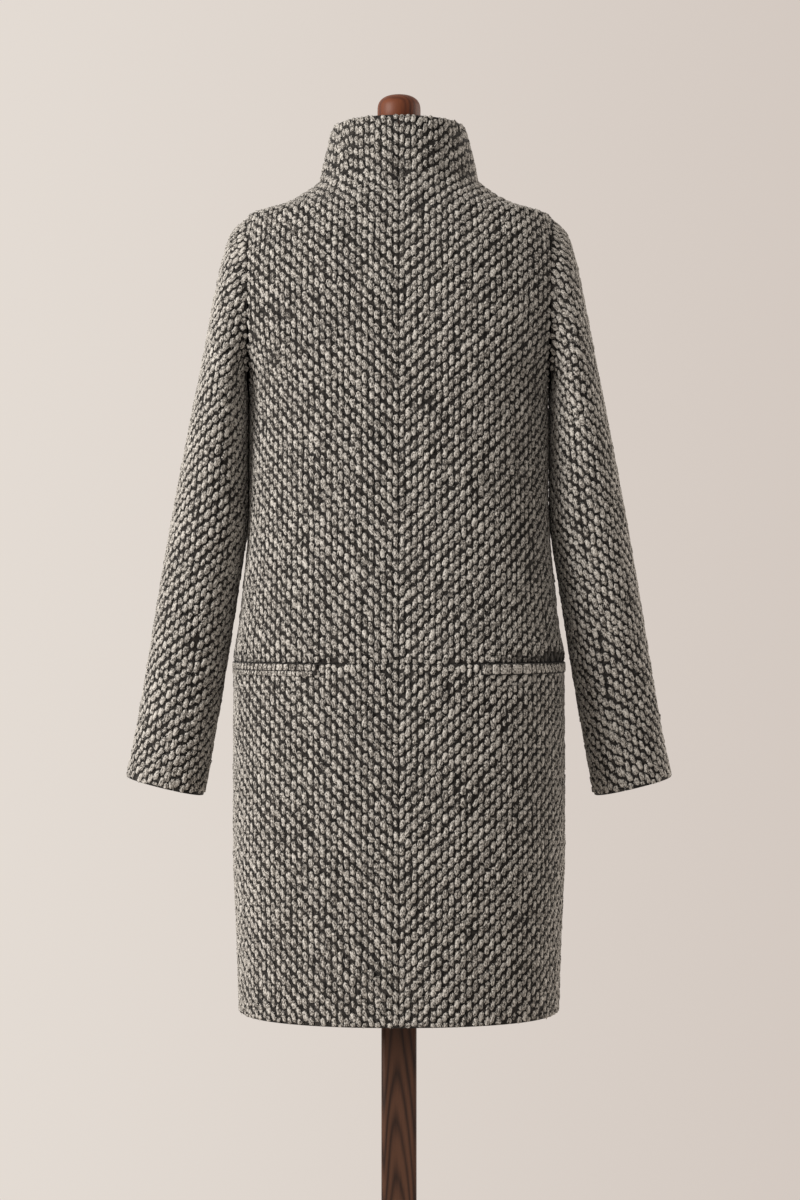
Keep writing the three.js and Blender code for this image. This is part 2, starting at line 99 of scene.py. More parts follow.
# The armhole: an upright oval seen from the side, scooped in a little at its middle
ARMHOLE_TOP = (166.0, 1402.0)
ARMHOLE_BOTTOM = (164.5, 1212.0)
ARMHOLE_HALF_DEPTH = 64.0
ARMHOLE_LOW_FULLNESS = 5.0
ARMHOLE_SCOOP = 3.0

# The right front laps over the left one
LAP = 28.0
LAP_GAP = 0.6
LAP_START_X = 50.0
LAP_FULL_X = 31.0

# Sleeve rings, in millimetres, from the armhole down to the cuff
SLEEVE_COLUMNS = ("step", "outer_x", "outer_z", "inner_x", "inner_z", "half_depth", "middle_y")
SLEEVE_RINGS = (
    (0, 166, 1402, 164.5, 1212, 64, 0),
    (1, 184, 1384, 165.6, 1209.6, 66, 0),
    (2, 196, 1344, 165.5, 1204, 69, 0),
    (3, 206, 1294, 165.3, 1195, 71, 1),
    (4, 216.5, 1238, 165.1, 1182, 70, 2),
    (5, 228.5, 1178, 164.9, 1155, 67, 3),
    (6, 244, 1098, 165.2, 1080, 60, 3),
    (7, 260.5, 1008, 177.5, 988, 54, 0),
    (8, 275.5, 920, 191.5, 900, 49, -6),
    (9, 288, 850, 204, 829, 45.5, -12),
    (10, 301.5, 787, 215.5, 766, 43, -18),
)
SLEEVE_POWER = 2.15
SLEEVE_BLEND = 3.0  # steps over which the armhole's curve turns into a plain ring
SLEEVE_END = 10.0
HIND_SEAM_ANGLE = math.radians(105)
FORE_SEAM_ANGLE = math.radians(240)
SLEEVE_LENGTHWAYS = (-0.119, 0.0, 0.993)  # up the arm

# Weave, in millimetres
WEAVE_ROWS = 3.0  # distance between the rows that the tufts are laid from
WEAVE_SHIFT = 0.475  # share of a tuft's period that each column starts above the one before
EDGE_MARGIN = 0.2
HIP_MARGIN = -1.0  # the nap reaches over the hip seam from both sides
HIP_OPEN_MARGIN = 0.0  # but the seam shows near the welts
END_MARGIN = -0.8  # the nap turns over the cuffs and the collar's edge
HEM_MARGIN = 0.0  # and stops at the hem
SEAM_OVERHANG = 1.3  # and over the shoulder, side, armhole and sleeve seams
SHORTEST_TUFT = 3.6
NARROWEST_TUFT = 2.2
TONE_JITTER = 0.1
SLEEVE_TONE = 0.1  # the sleeves catch a little more light in their nap

# How uneven the weave is, in millimetres, or as a share of the tuft's size
PHASE_JITTER = 0.3  # of a whole column
PLACE_JITTER = 0.35  # of a tuft along its column
COLUMN_WAVES = ((0.4, 23), (0.3, 9))  # height and length of slow shifts along a column
DRIFT_WAVES = ((0.45, 11), (0.35, 27))  # and of slow shifts to its sides
TURN_JITTER = 0.08
SIZE_JITTER = 0.07
HEIGHT_JITTER = 0.14
SMALL_SHARE = 0.03  # share of the tufts that are small
SMALL_SIZE = 0.7
COLLAR_LOW_Z = 1425.0  # above this the pull of the collar's curve upsets the rows
COLLAR_BLEND = 20.0
COLLAR_SHIFT = 3.0

# Spindles: sides, rings, squareness; and how ragged their corners are
TUFT_SHAPE, TUFT_RAGGED = (6, 3, 1.3), 0.11
LOCK_SHAPE, LOCK_RAGGED = (3, 3), 0.16
WISP_SHAPE, WISP_RAGGED = (3, 2), 0.1
BLOCK_SHAPE, BLOCK_RAGGED = (8, 5, 2.2), 0.02
UNDERSIDE = 0.35  # depth of a spindle's lower half, as a share of its upper half

# Locks of fibre that lie on each tuft, in shares of its size, and wisps beside it, in millimetres
LOCKS = 2
LOCK_WIDTH = 0.48
LOCK_SPREAD, LOCK_JITTER = 0.55, 0.12
LOCK_REACH = (0.45, 0.7)
LOCK_TURN = 0.3
LOCK_HEIGHT = (0.95, 1.25)
LOCK_TONE = (0.02, 0.14)
WISPS = 1
WISP_ACROSS = (0.6, 1.25)
WISP_ALONG = (-0.95, 0.95)
WISP_TURN = 0.8
WISP_LENGTH = (1.1, 2.6)
WISP_THICKNESS = (0.22, 0.42)
WISP_FLATNESS = 0.8
WISP_LIFT = (0.2, 1.3)
WISP_TONE = (-0.1, 0.14)

# The centre-back seam is drawn in where the collar meets the back, and painted shade darkens its
# tufts there
PINCH_LOW_Z = 1414.0
PINCH_HIGH_Z = 1462.0
PINCH_REACH = 5.0
PINCH_PAINTED_SHADE = 0.5

# Beside the inner ends of the welts the first row of the skirt's nap is pressed and lighter
HIP_LIGHT_X = 50.0
HIP_LIGHT = {"left": 0.25, "right": 0.6}

# Pocket welts and the mouths above them
WELT_START_X = 86.0
WELT_END_X = 170.0
WELT_HEIGHT = 12.0
WELT_THICKNESS = 2.4
WELT_PRESS = 0.8  # how much flatter the welt is pressed where it goes round the side
WELT_NAP = 0.8
# The left welt's tufts are toned darker than the right's: painted shade, for the key light that
# falls on that side
WELT_TONE_WITH_PAINTED_SHADE = {"left": -0.08, "right": 0.0}
WELT_BLOCKS = 62.0  # length of the welt that is laid in blocks, the rest in narrow strands
WELT_BLOCK_LENGTHS = {"left": (5, 7, 9), "right": (7, 9, 12, 14)}
WELT_STRAND = 6.5
WELT_GAP = 0.35
WELT_LEAN = 0.7  # of the strands round the side
WELT_TONE_JITTER = 0.12
FRINGE_WIDTH = (3.6, 5.2)
WELT_COVERED = {"left": 4.0, "right": 0.0}  # of its height, under a fringe of the skirt's nap
MOUTH_START_X = 103.0
MOUTH_HEIGHT = 12.0
MOUTH_DEPTH = {"left": 0.6, "right": 1.2}
# Painted shadow in the pockets' mouths: how much their tufts are darkened on each side
MOUTH_PAINTED_SHADE = {"left": 0.15, "right": 0.6}
MOUTH_PAINTED_SHADOW_X = 152.0  # past this the right mouth gapes, and painted shadow darkens its tufts to near black
MOUTH_PAINTED_SHADOW = 4.0

# The form's shoulders lie this far under the coat that rests on them,
# to leave room for its rounding
FORM_EASE = 1.6
FORM_EASE_LOW_Z = 1250.0
FORM_EASE_HIGH_Z = 1450.0

# Walnut: growth rings round a heart that leans across the board
HEART_LEAN = math.radians(2.9)
RING_BEND = 0.016  # metres
WOOD_COLUMNS = ("material", "shade", "ring_mm", "heart_mm", "along", "ring_share")
STAND_WOOD = ("walnut_stand_oiled", "walnut", 2.8, (-10.6, -23, 0), "Z", 0.6)
FINIAL_WOOD = ("walnut_finial_oiled", "finial", 4.0, (4, -60, 0), "Z", 0.4)
BOARD_WOOD = ("walnut_board_oiled", "walnut", 4.5, (0, 0, 90), "Y", 0.6)

# Stand, in millimetres
CAP_RADIUS = 54.0
CAP_ROUND = 3.0
FINIAL_RADIUS = 23.7
FINIAL_TOP_Z = 1537.0
FINIAL_DOME = 17.0
FINIAL_SQUARENESS = 2.6
FINIAL_STEPS = 14
POST_WIDTH = 38.5
POST_ROUND = 5.0
BASE_RADIUS = 195.0
BASE_THICKNESS = 25.0
BASE_ROUND = 7.0
CORNER_POINTS = 6

# Camera: level, behind the coat, at the height of its waist
CAMERA_PLACE = (-0.0011, 2.6, 0.982)
CAMERA_LENS_MM = 70.92
CAMERA_SENSOR_MM = 36.0

# Studio, in metres
LIGHTS = (
    # name, place, width, height, watts, colour
    ("key", (2.9, 1.9, 2.1), 1.5, 1.8, 122, "#fffaf5"),
    ("fill", (-2.4, -1.0, 1.6), 2.0, 2.0, 26, "#fff6ec"),
)
LIGHT_TARGET = (0, 0, 1.0)
BACKDROP_DIM, BACKDROP_LIGHT = "#d1c6be", "#e6ded6"  # at the camera's right and at its left
BACKDROP_FADE = (-0.3, 0.3)
SURROUNDINGS = "#a09a94"  # beside and behind the camera
SURROUNDINGS_FADE = (0.2, -0.7)
FLOOR_COLOUR = "#d8cec4"
FLOOR_RADIUS = 1.15
FLOOR_FADE = (1.12, 0.45)


def length_property(name, description, length_mm):
    return FloatProperty(name=name, description=description, default=length_mm * MM, unit="LENGTH")


class OvercoatSizes(bpy.types.PropertyGroup):
    """Sizes that a user would change"""

    column_spacing: length_property("Column spacing", "Distance between two columns of tufts", 6.5)
    tuft_period: length_property("Tuft period", "Distance between two tufts of one column", 12.9)
    tuft_length: length_property("Tuft length", "Length of one tuft", 12.6)
    tuft_width: length_property("Tuft width", "Width of one tuft", 6.2)
    tuft_height: length_property("Tuft height", "Height of a tuft above the ground weave", 1.8)
    tuft_lean: FloatProperty(
        name="Tuft lean",
        description="Angle between a tuft and the cloth's length",
        default=math.radians(15),
        subtype="ANGLE",
    )
    shell_spacing: length_property("Cloth mesh spacing", "Size of the cloth's mesh squares", 8)
    seed: IntProperty(name="Seed", description="Seed of the cloth's irregularities", default=7)


def linear(hex_color):
    """The linear colour of an sRGB hex value"""
    parts = [int(hex_color[i : i + 2], 16) / 255 for i in (1, 3, 5)]
    return [c / 12.92 if c <= 0.04045 else ((c + 0.055) / 1.055) ** 2.4 for c in parts]


def colour_property(name, description, hex_color):
    return FloatVectorProperty(
        name=name, description=description, default=linear(hex_color), subtype="COLOR", min=0, max=1
    )


class OvercoatColours(bpy.types.PropertyGroup):
    """Colours that a user would change"""

    tuft_light: colour_property("Light tuft", "Lightest wool of the tufts", "#dfdbd4")
    tuft_dim: colour_property("Dim tuft", "Greyer wool of the tufts", "#97928b")
    tuft_dark: colour_property("Dark tuft", "Darkest fibres of the tufts", "#4b4743")
    ground_dark: colour_property("Dark ground", "Charcoal yarn between the tufts", "#1b1a19")
    ground_grey: colour_property("Grey ground", "Greyer fibres of the ground", "#4d4946")
    linen: colour_property("Form cover", "Linen of the dress form", "#cbbda4")
    walnut_dark: colour_property("Dark walnut", "Dark grain of the stand", "#2b1912")
    walnut_light: colour_property("Light walnut", "Light grain of the stand", "#5c3c2b")
    finial_dark: colour_property("Dark finial", "Dark grain of the finial", "#4b2418")
    finial_light: colour_property("Light finial", "Light grain of the finial", "#7f4529")


def sizes():
    return bpy.context.scene.overcoat_sizes


def colours():
    return bpy.context.scene.overcoat_colours


# Curves and surfaces of the coat, shared by the cloth and its tufts


def signed_power(value, power):
    return np.sign(value) * np.abs(value) ** power


def smooth_step(share):
    s = np.clip(share, 0, 1)
    return s * s * (3 - 2 * s)


def mix(a, b, share):
    return a + (b - a) * share


def curve_through(at, values):
    """A smooth curve through table rows, which never overshoots them"""
    at, values = np.array(at, float), np.array(values, float)
    if at[0] > at[-1]:
        at, values = at[::-1], values[::-1]
    widths = np.diff(at)
    rises = np.diff(values) / widths
    before = np.concatenate([rises[:1], rises])
    after = np.concatenate([rises, rises[-1:]])
    total = np.where(before * after > 0, before + after, 1)
    slopes = np.where(before * after > 0, 2 * before * after / total, 0)

    def curve(x):
        x = np.asarray(x, float)
        i = np.clip(np.searchsorted(at, x, side="right") - 1, 0, len(at) - 2)
        s = np.clip((x - at[i]) / widths[i], 0, 1)
        bend = s * s * (3 - 2 * s)
        start = s * (1 - s) ** 2 * widths[i] * slopes[i]
        end = s * s * (1 - s) * widths[i] * slopes[i + 1]
        return mix(values[i], values[i + 1], bend) + start - end

    return curve


def table_curves(names, rows):
    """One curve for each column but the first, along the first"""
    across = list(zip(*rows))
    return {name: curve_through(across[0], column) for name, column in zip(names[1:], across[1:])}


BODY = table_curves(BODY_COLUMNS, BODY_RINGS)
SLEEVE = table_curves(SLEEVE_COLUMNS, SLEEVE_RINGS)


def armhole_point(angle):
    """Points of the left armhole, at an angle from its top, past the back"""
    angle = np.asarray(angle, float)
    drop = (1 - np.cos(angle)) / 2
    half_depth = ARMHOLE_HALF_DEPTH + ARMHOLE_LOW_FULLNESS * smooth_step(drop)
    x = mix(ARMHOLE_TOP[0], ARMHOLE_BOTTOM[0], drop) - ARMHOLE_SCOOP * np.sin(angle) ** 2
    z = mix(ARMHOLE_TOP[1], ARMHOLE_BOTTOM[1], drop)
    return np.stack([x, half_depth * np.sin(angle), z], axis=-1)


def armhole_angle(z):
    middle = (ARMHOLE_TOP[1] + ARMHOLE_BOTTOM[1]) / 2
    reach = (ARMHOLE_TOP[1] - ARMHOLE_BOTTOM[1]) / 2
    return np.arccos(np.clip((z - middle) / reach, -1, 1))


def body_ring(z, face):
    """Depth, power, half width and last angle of the ring at each level"""
    depth = BODY["back" if face == BACK else "front"](z)
    power = BODY["power"](z)
    crosses = (z < ARMHOLE_TOP[1]) & (z > ARMHOLE_BOTTOM[1])
    edge = armhole_point(armhole_angle(z))
    share = (1 - (np.abs(edge[..., 1]) / depth) ** power) ** (1 / power)
    half_width = np.where(crosses, edge[..., 0] / share, BODY["half_width"](z))
    reach = np.where(crosses, np.arcsin(share ** (power / 2)), math.pi / 2)
    return depth, power, half_width, reach


def body_point(z, face, angle):
    """Points of the coat's left half, at an angle from the middle of the back or front"""
    depth, power, half_width, _ = body_ring(z, face)
    x = half_width * signed_power(np.sin(angle), 2 / power)
    y = face * depth * signed_power(np.cos(angle), 2 / power)
    return np.stack([x, y, z + 0 * x], axis=-1)


def unit(vectors):
    return vectors / np.linalg.norm(vectors, axis=-1, keepdims=True)


def body_normal(z, face, angle):
    nudge = 0.5
    depth, power, half_width, _ = body_ring(z, face)
    depth_up, _, width_up, _ = body_ring(z + nudge, face)
    depth_down, _, width_down, _ = body_ring(z - nudge, face)
    across = signed_power(np.sin(angle), 2 / power)
    along = np.abs(np.cos(angle)) ** (2 / power)
    widening = (width_up - width_down) / (2 * nudge) / half_width
    deepening = (depth_up - depth_down) / (2 * nudge) / depth
    x = signed_power(across, power - 1) / half_width
    y = face * along ** (power - 1) / depth
    up = -(np.abs(across) ** power * widening + along**power * deepening)
    return unit(np.stack([x, y, up], axis=-1))


def angle_at(z, face, x):
    _, power, half_width, _ = body_ring(z, face)
    return np.arcsin(signed_power(x / half_width, power / 2))


def sleeve_ring_point(step, angle):
    across = (1 + signed_power(np.cos(angle), 2 / SLEEVE_POWER)) / 2
    deep = signed_power(np.sin(angle), 2 / SLEEVE_POWER)
    x = mix(SLEEVE["inner_x"](step), SLEEVE["outer_x"](step), across)
    y = SLEEVE["middle_y"](step) + SLEEVE["half_depth"](step) * deep
    z = mix(SLEEVE["inner_z"](step), SLEEVE["outer_z"](step), across)
    return np.stack([x, y, z], axis=-1)


def sleeve_point(step, angle):
    """Points of the left sleeve: the step goes down to the cuff, the angle round from the top"""
    held = 1 - smooth_step(np.asarray(step) / SLEEVE_BLEND)
    pull = armhole_point(angle) - sleeve_ring_point(0 * np.asarray(step), angle)
    return sleeve_ring_point(step, angle) + held[..., None] * pull


def sleeve_normal(step, angle):
    nudge = 0.02
    around = sleeve_point(step, angle + nudge) - sleeve_point(step, angle - nudge)
    down = sleeve_point(np.minimum(SLEEVE_END, step + nudge), angle)
    down = down - sleeve_point(np.maximum(0, step - nudge), angle)
    return unit(np.cross(down, around))


# Soft creases, in millimetres, on the body or on a sleeve. A trough has a positive depth.
CREASE_COLUMNS = ("part", "face", "start_x", "start_z", "end_x", "end_z", "width", "depth")
CREASES = (
    ("body", BACK, 158, 1238, 118, 1196, 13, 1.5),
    ("body", BACK, 163, 1206, 132, 1150, 15, 1.2),
    ("body", BACK, 96, 1392, 128, 1330, 22, 1.0),
    ("body", BACK, 60, 1010, 66, 930, 26, 0.8),
    ("body", BACK, 92, 860, 86, 560, 30, 1.1),
    ("body", BACK, 148, 700, 150, 545, 24, -1.0),
    ("body", BACK, 0, PINCH_HIGH_Z, 0, PINCH_LOW_Z, 3.5, 2.0),
    ("body", FRONT, 156, 1240, 112, 1188, 14, 1.6),
    ("body", FRONT, 120, 1380, 96, 1300, 24, 1.1),
    ("body", FRONT, 98, 850, 94, 560, 30, 1.3),
    ("sleeve", BACK, 176, 1222, 204, 1196, 10, 1.6),
    ("sleeve", BACK, 181, 1040, 222, 1024, 10, 1.2),
    ("sleeve", BACK, 186, 1000, 218, 994, 8, 0.8),
    ("sleeve", FRONT, 184, 1046, 232, 1022, 10, 2.0),
    ("sleeve", FRONT, 190, 1004, 226, 996, 9, 1.5),
    ("sleeve", FRONT, 178, 1228, 206, 1200, 10, 1.8),
)


def crease_drop(part, points):
    """How far each point lies under the smooth surface because of the creases"""
    drop = np.zeros(points.shape[:-1])
    for row in CREASES:
        crease = dict(zip(CREASE_COLUMNS, row))
        if crease["part"] != part:
            continue
        start = np.array([crease["start_x"], crease["start_z"]])
        run = np.array([crease["end_x"], crease["end_z"]]) - start
        offset = points[..., [0, 2]] - start
        share = (offset @ run) / (run @ run)
        foot = np.clip(share, 0, 1)[..., None] * run
        away = np.linalg.norm(offset - foot, axis=-1) / crease["width"]
        on_face = smooth_step(0.5 + crease["face"] * points[..., 1] / 30)
        drop += crease["depth"] * np.exp(-(away**2)) * on_face
    return drop


def mouth_share(points):
    """How far inside the mouth of the pocket each point of the body lies, from 0 to 1"""
    x, y, z = points[..., 0], points[..., 1], points[..., 2]
    inner_end = smooth_step((np.abs(x) - MOUTH_START_X) / 8)
    outer_end = np.where(y > 0, 1, smooth_step((np.abs(x) - WELT_END_X) / 6))
    height = z - HIP_SEAM_Z
    band = smooth_step(height / 1.5 + 1) * smooth_step((MOUTH_HEIGHT + 2 - height) / 5)
    return inner_end * outer_end * band * (height > 0)


def lap_drop(x):
    share = (LAP_START_X - x) / (LAP_START_X - LAP_FULL_X)
    return (COATING + LAP_GAP) * smooth_step(share)


def spaced(start, end, spacing):
    count = max(2, int(round(abs(end - start) / spacing)) + 1)
    return np.linspace(start, end, count)


def run_of(points):
    """Distance of each point of a line from its start"""
    return np.insert(np.cumsum(np.linalg.norm(np.diff(points, axis=0), axis=1)), 0, 0)


def run_along(points, axis, reference=0):
    """Distance along one axis of a grid of points, from the row or column of a reference"""
    steps = np.linalg.norm(np.diff(points, axis=axis), axis=2)
    run = np.cumsum(np.insert(steps, 0, 0, axis=axis), axis=axis)
    return run - np.take(run, [reference], axis=axis)


class BodyPanel:
    """A cut piece of the coat's body: left half, back or front, above or below the hip seam"""

    part = "body"
    overhang = (0.0, SEAM_OVERHANG)

    def __init__(self, face, low_z, high_z, side):
        self.face = face
        self.low_z = low_z
        self.high_z = high_z
        self.under = face == FRONT and side == "left"  # the other front laps over it
        self.mouth_depth = MOUTH_DEPTH[side]

    def surface(self, z, share):
        """Points and normals with the lap, the creases and the pocket's mouth"""
        _, _, _, reach = body_ring(z, self.face)
        start = 0 * z if self.face == BACK else angle_at(z, self.face, -LAP)
        angle = start + (reach - start) * share
        points = body_point(z, self.face, angle)
        normals = body_normal(z, self.face, angle)
        drop = crease_drop(self.part, points)
        if self.under:
            drop = drop + lap_drop(points[..., 0])
        off_side = smooth_step((np.abs(points[..., 1]) - 10) / 50)
        drop = drop + self.mouth_depth * off_side * mouth_share(points)
        return points - drop[..., None] * normals, normals

    def rows(self, spacing):
        """Heights a spacing apart along the side edge, which lies almost level on the shoulder"""
        fine = np.linspace(self.low_z, self.high_z, 1500)
        edge = body_point(fine, self.face, body_ring(fine, self.face)[3])
        run = run_of(edge)
        return np.interp(spaced(0, run[-1], spacing), run, fine)

    def cloth_grid(self, spacing):
        z = self.rows(spacing)
        columns = spaced(0, 180, spacing) / 180
        return self.surface(z[:, None], columns[None, :])

    def weave_grid(self):
        """Level rows of points, with their normals, distances across, heights and validity"""
        z = self.rows(WEAVE_ROWS)
        points, normals = self.surface(z[:, None], np.linspace(0, 1, 90)[None, :])
        across = run_along(points, 1)
        return points, normals, across, z - HIP_SEAM_Z, np.ones(across.shape, bool)


class SleevePanel:
    """A cut piece of the left sleeve between two of its lengthwise seams"""

    part = "sleeve"
    under = False
    overhang = (SEAM_OVERHANG, SEAM_OVERHANG)

    def __init__(self, start, end):
        self.start = start
        self.end = end

    def surface(self, step, angle):
        step = step + 0 * angle
        angle = angle + 0 * step
        points, normals = sleeve_point(step, angle), sleeve_normal(step, angle)
        return points - crease_drop(self.part, points)[..., None] * normals, normals

    def cloth_grid(self, spacing):
        fine = np.linspace(0, SLEEVE_END, 400)
        run = run_of(sleeve_point(fine, 0 * fine))
        steps = np.interp(spaced(run[-1], 0, spacing), run, fine)
        angles = spaced(self.start, self.end, spacing / 55)
        return self.surface(steps[:, None], angles[None, :])

    def weave_grid(self):
        """Rows square to the sleeve's length, so that the weave runs straight up the arm"""
        steps = np.linspace(0, SLEEVE_END, 240)
        angles = np.linspace(self.start, self.end, 260)
        step, angle = np.meshgrid(steps, angles, indexing="ij")
        smooth = sleeve_point(step, angle)
        lengthways = unit(np.array(SLEEVE_LENGTHWAYS))
        height = smooth @ lengthways
        levels = np.arange(height.min(), height.max(), WEAVE_ROWS)
        step_at = np.stack(
            [np.interp(levels, height[::-1, j], steps[::-1]) for j in range(len(angles))], axis=1
        )
        points, normals = self.surface(step_at, angles[None, :])
        valid = (levels[:, None] <= height[0]) & (levels[:, None] >= height[-1])
        outermost = int(np.argmin(np.abs(angles))) if self.start < 0 else 0
        across = run_along(points, 1, outermost)
        return points, normals, across, levels - levels[0], valid


def coat_panel(key, side):
    gap = SEAM_GAP / 2
    above = (HIP_SEAM_Z + gap, COLLAR_TOP_Z)
    below = (HEM_Z, HIP_SEAM_Z - gap)
    if key == "top_sleeve":
        return SleevePanel(FORE_SEAM_ANGLE - TAU, HIND_SEAM_ANGLE)
    if key == "under_sleeve":
        return SleevePanel(HIND_SEAM_ANGLE, FORE_SEAM_ANGLE)
    face = BACK if key.startswith("back") else FRONT
    return BodyPanel(face, *(above if key.endswith("upper") else below), side)


# Materials


def new_material(name):
    material = bpy.data.materials.new(name)
    material.use_nodes = True
    return material


def add_node(material, kind, settings=None, links=None, values=None):
    """Adds a node: its settings, its input values, and the sockets that feed its inputs"""
    node = material.node_tree.nodes.new(kind)
    for key, value in (settings or {}).items():
        setattr(node, key, value)
    for key, value in (values or {}).items():
        node.inputs[key].default_value = value
    for key, socket in (links or {}).items():
        material.node_tree.links.new(socket, node.inputs[key])
    return node


def link(material, socket, target):
    material.node_tree.links.new(socket, target)


def ramp(material, factor, stops):
    """A colour ramp through (place, colour) stops"""
    node = add_node(material, "ShaderNodeValToRGB", links={"Fac": factor})
    elements = node.color_ramp.elements
    while len(elements) < len(stops):
        elements.new(0.5)
    for element, (place, colour) in zip(elements, stops):
        element.position = place
        element.color = (*colour, 1)
    return node.outputs["Color"]


def blend_colour(material, factor, first, second):
    node = add_node(material, "ShaderNodeMix", {"data_type": "RGBA"}, {0: factor})
    for index, colour in ((6, first), (7, second)):
        if hasattr(colour, "is_linked"):
            link(material, colour, node.inputs[index])
        else:
            node.inputs[index].default_value = (*colour, 1)
    return node.outputs[2]


def object_point(material, scale=(1, 1, 1)):
    place = add_node(material, "ShaderNodeTexCoord").outputs["Object"]
    return add_node(
        material, "ShaderNodeMapping", links={"Vector": place}, values={"Scale": scale}
    ).outputs["Vector"]


def eased(material, value, low, high):
    """A smooth step of a socket, from 0 at the low value to 1 at the high one"""
    return add_node(
        material,
        "ShaderNodeMapRange",
        {"interpolation_type": "SMOOTHSTEP"},
        {"Value": value},
        {"From Min": low, "From Max": high},
    ).outputs["Result"]


def sum_of(material, *terms, offset=0.0):
    """The weighted sum of sockets, plus an offset"""
    total = offset
    for socket, weight in terms:
        node = add_node(
            material, "ShaderNodeMath", {"operation": "MULTIPLY_ADD"}, {0: socket}, {1: weight}
        )
        if hasattr(total, "is_linked"):
            link(material, total, node.inputs[2])
        else:
            node.inputs[2].default_value = total
        total = node.outputs[0]
    return total


def noise(material, vector, size_mm, detail=3.0, roughness=0.6):
    """Noise whose lumps are about a size across"""
    return add_node(
        material,
        "ShaderNodeTexNoise",
        links={"Vector": vector},
        values={"Scale": 1 / (size_mm * MM), "Detail": detail, "Roughness": roughness},
    ).outputs["Fac"]


def set_surface(material, colour, height, strength, depth_mm, values):
    """Gives the shader its colour, a bump of a height socket, and its constant values"""
    shader = material.node_tree.nodes["Principled BSDF"]
    bump = add_node(
        material,
        "ShaderNodeBump",
        links={"Height": height},
        values={"Strength": strength, "Distance": depth_mm * MM},
    )
    link(material, colour, shader.inputs["Base Color"])
    link(material, bump.outputs["Normal"], shader.inputs["Normal"])
    for name, value in values.items():
        shader.inputs[name].default_value = value


def attribute(material, name, output):
    node = add_node(material, "ShaderNodeAttribute", {"attribute_name": name})
    return node.outputs[output]


def tuft_wool():
    """Loose roving of light wool: soft, matt and cloudy, thinning to the dark yarn at its flanks"""
    material = new_material("tuft_wool_light_roving")
    shades = colours()
    strand = attribute(material, "strand", "Vector")
    tone = attribute(material, "tone", "Fac")
    rise = attribute(material, "rise", "Fac")
    along = add_node(
        material, "ShaderNodeMapping", links={"Vector": strand}, values={"Scale": (1.0, 0.5, 1.0)}
    ).outputs["Vector"]
    fibres = noise(material, along, 1.25, 2, 0.65)
    clouds = noise(material, strand, 4.5, 2, 0.5)
    shade = sum_of(material, (fibres, 5.0), (clouds, 1.1), (tone, 1.0), offset=-2.52)
    wool = ramp(
        material,
        shade,
        [(0.05, shades.tuft_dark), (0.4, shades.tuft_dim), (0.95, shades.tuft_light)],
    )
    height = sum_of(material, (rise, 1.0), (clouds, 0.8), (fibres, 2.4), offset=-1.62)
    cover = eased(material, height, 0.02, 0.42)
    colour = blend_colour(material, cover, shades.ground_dark, wool)
    finish = {
        "Roughness": 0.95,
        "Specular IOR Level": 0.15,
        "Sheen Weight": 0.2,
        "Sheen Roughness": 0.6,
    }
    set_surface(material, colour, fibres, 0.8, 0.9, finish)
    return material


def ground_wool():
    """Charcoal ground weave: felted yarn, matt, with greyer fibres drawn up by the nap"""
    material = new_material("ground_wool_charcoal")
    shades = colours()
    point = object_point(material)
    lumps = noise(material, point, 4.0, 4, 0.7)
    fibres = noise(material, object_point(material, (1, 1, 0.4)), 1.3, 3, 0.7)
    mixed = sum_of(material, (lumps, 0.65), (fibres, 0.35))
    colour = ramp(material, mixed, [(0.42, shades.ground_dark), (0.68, shades.ground_grey)])
    finish = {"Roughness": 0.97, "Specular IOR Level": 0.1, "Sheen Weight": 0.2}
    set_surface(material, colour, mixed, 0.8, 0.9, finish)
    return material


def linen():
    """Plain-woven linen over the moulded form: matt, with slubs a few millimetres long"""
    material = new_material("form_linen_plain_weave")
    shades = colours()
    warp = noise(material, object_point(material, (1, 1, 0.08)), 1.1, 2)
    weft = noise(material, object_point(material, (0.12, 0.12, 1)), 1.1, 2)
    weave = sum_of(material, (warp, 0.5), (weft, 0.5))
    dark = tuple(0.72 * c for c in shades.linen)
    colour = ramp(material, weave, [(0.38, dark), (0.6, shades.linen)])
    set_surface(material, colour, weave, 0.3, 0.3, {"Roughness": 0.9})
    return material


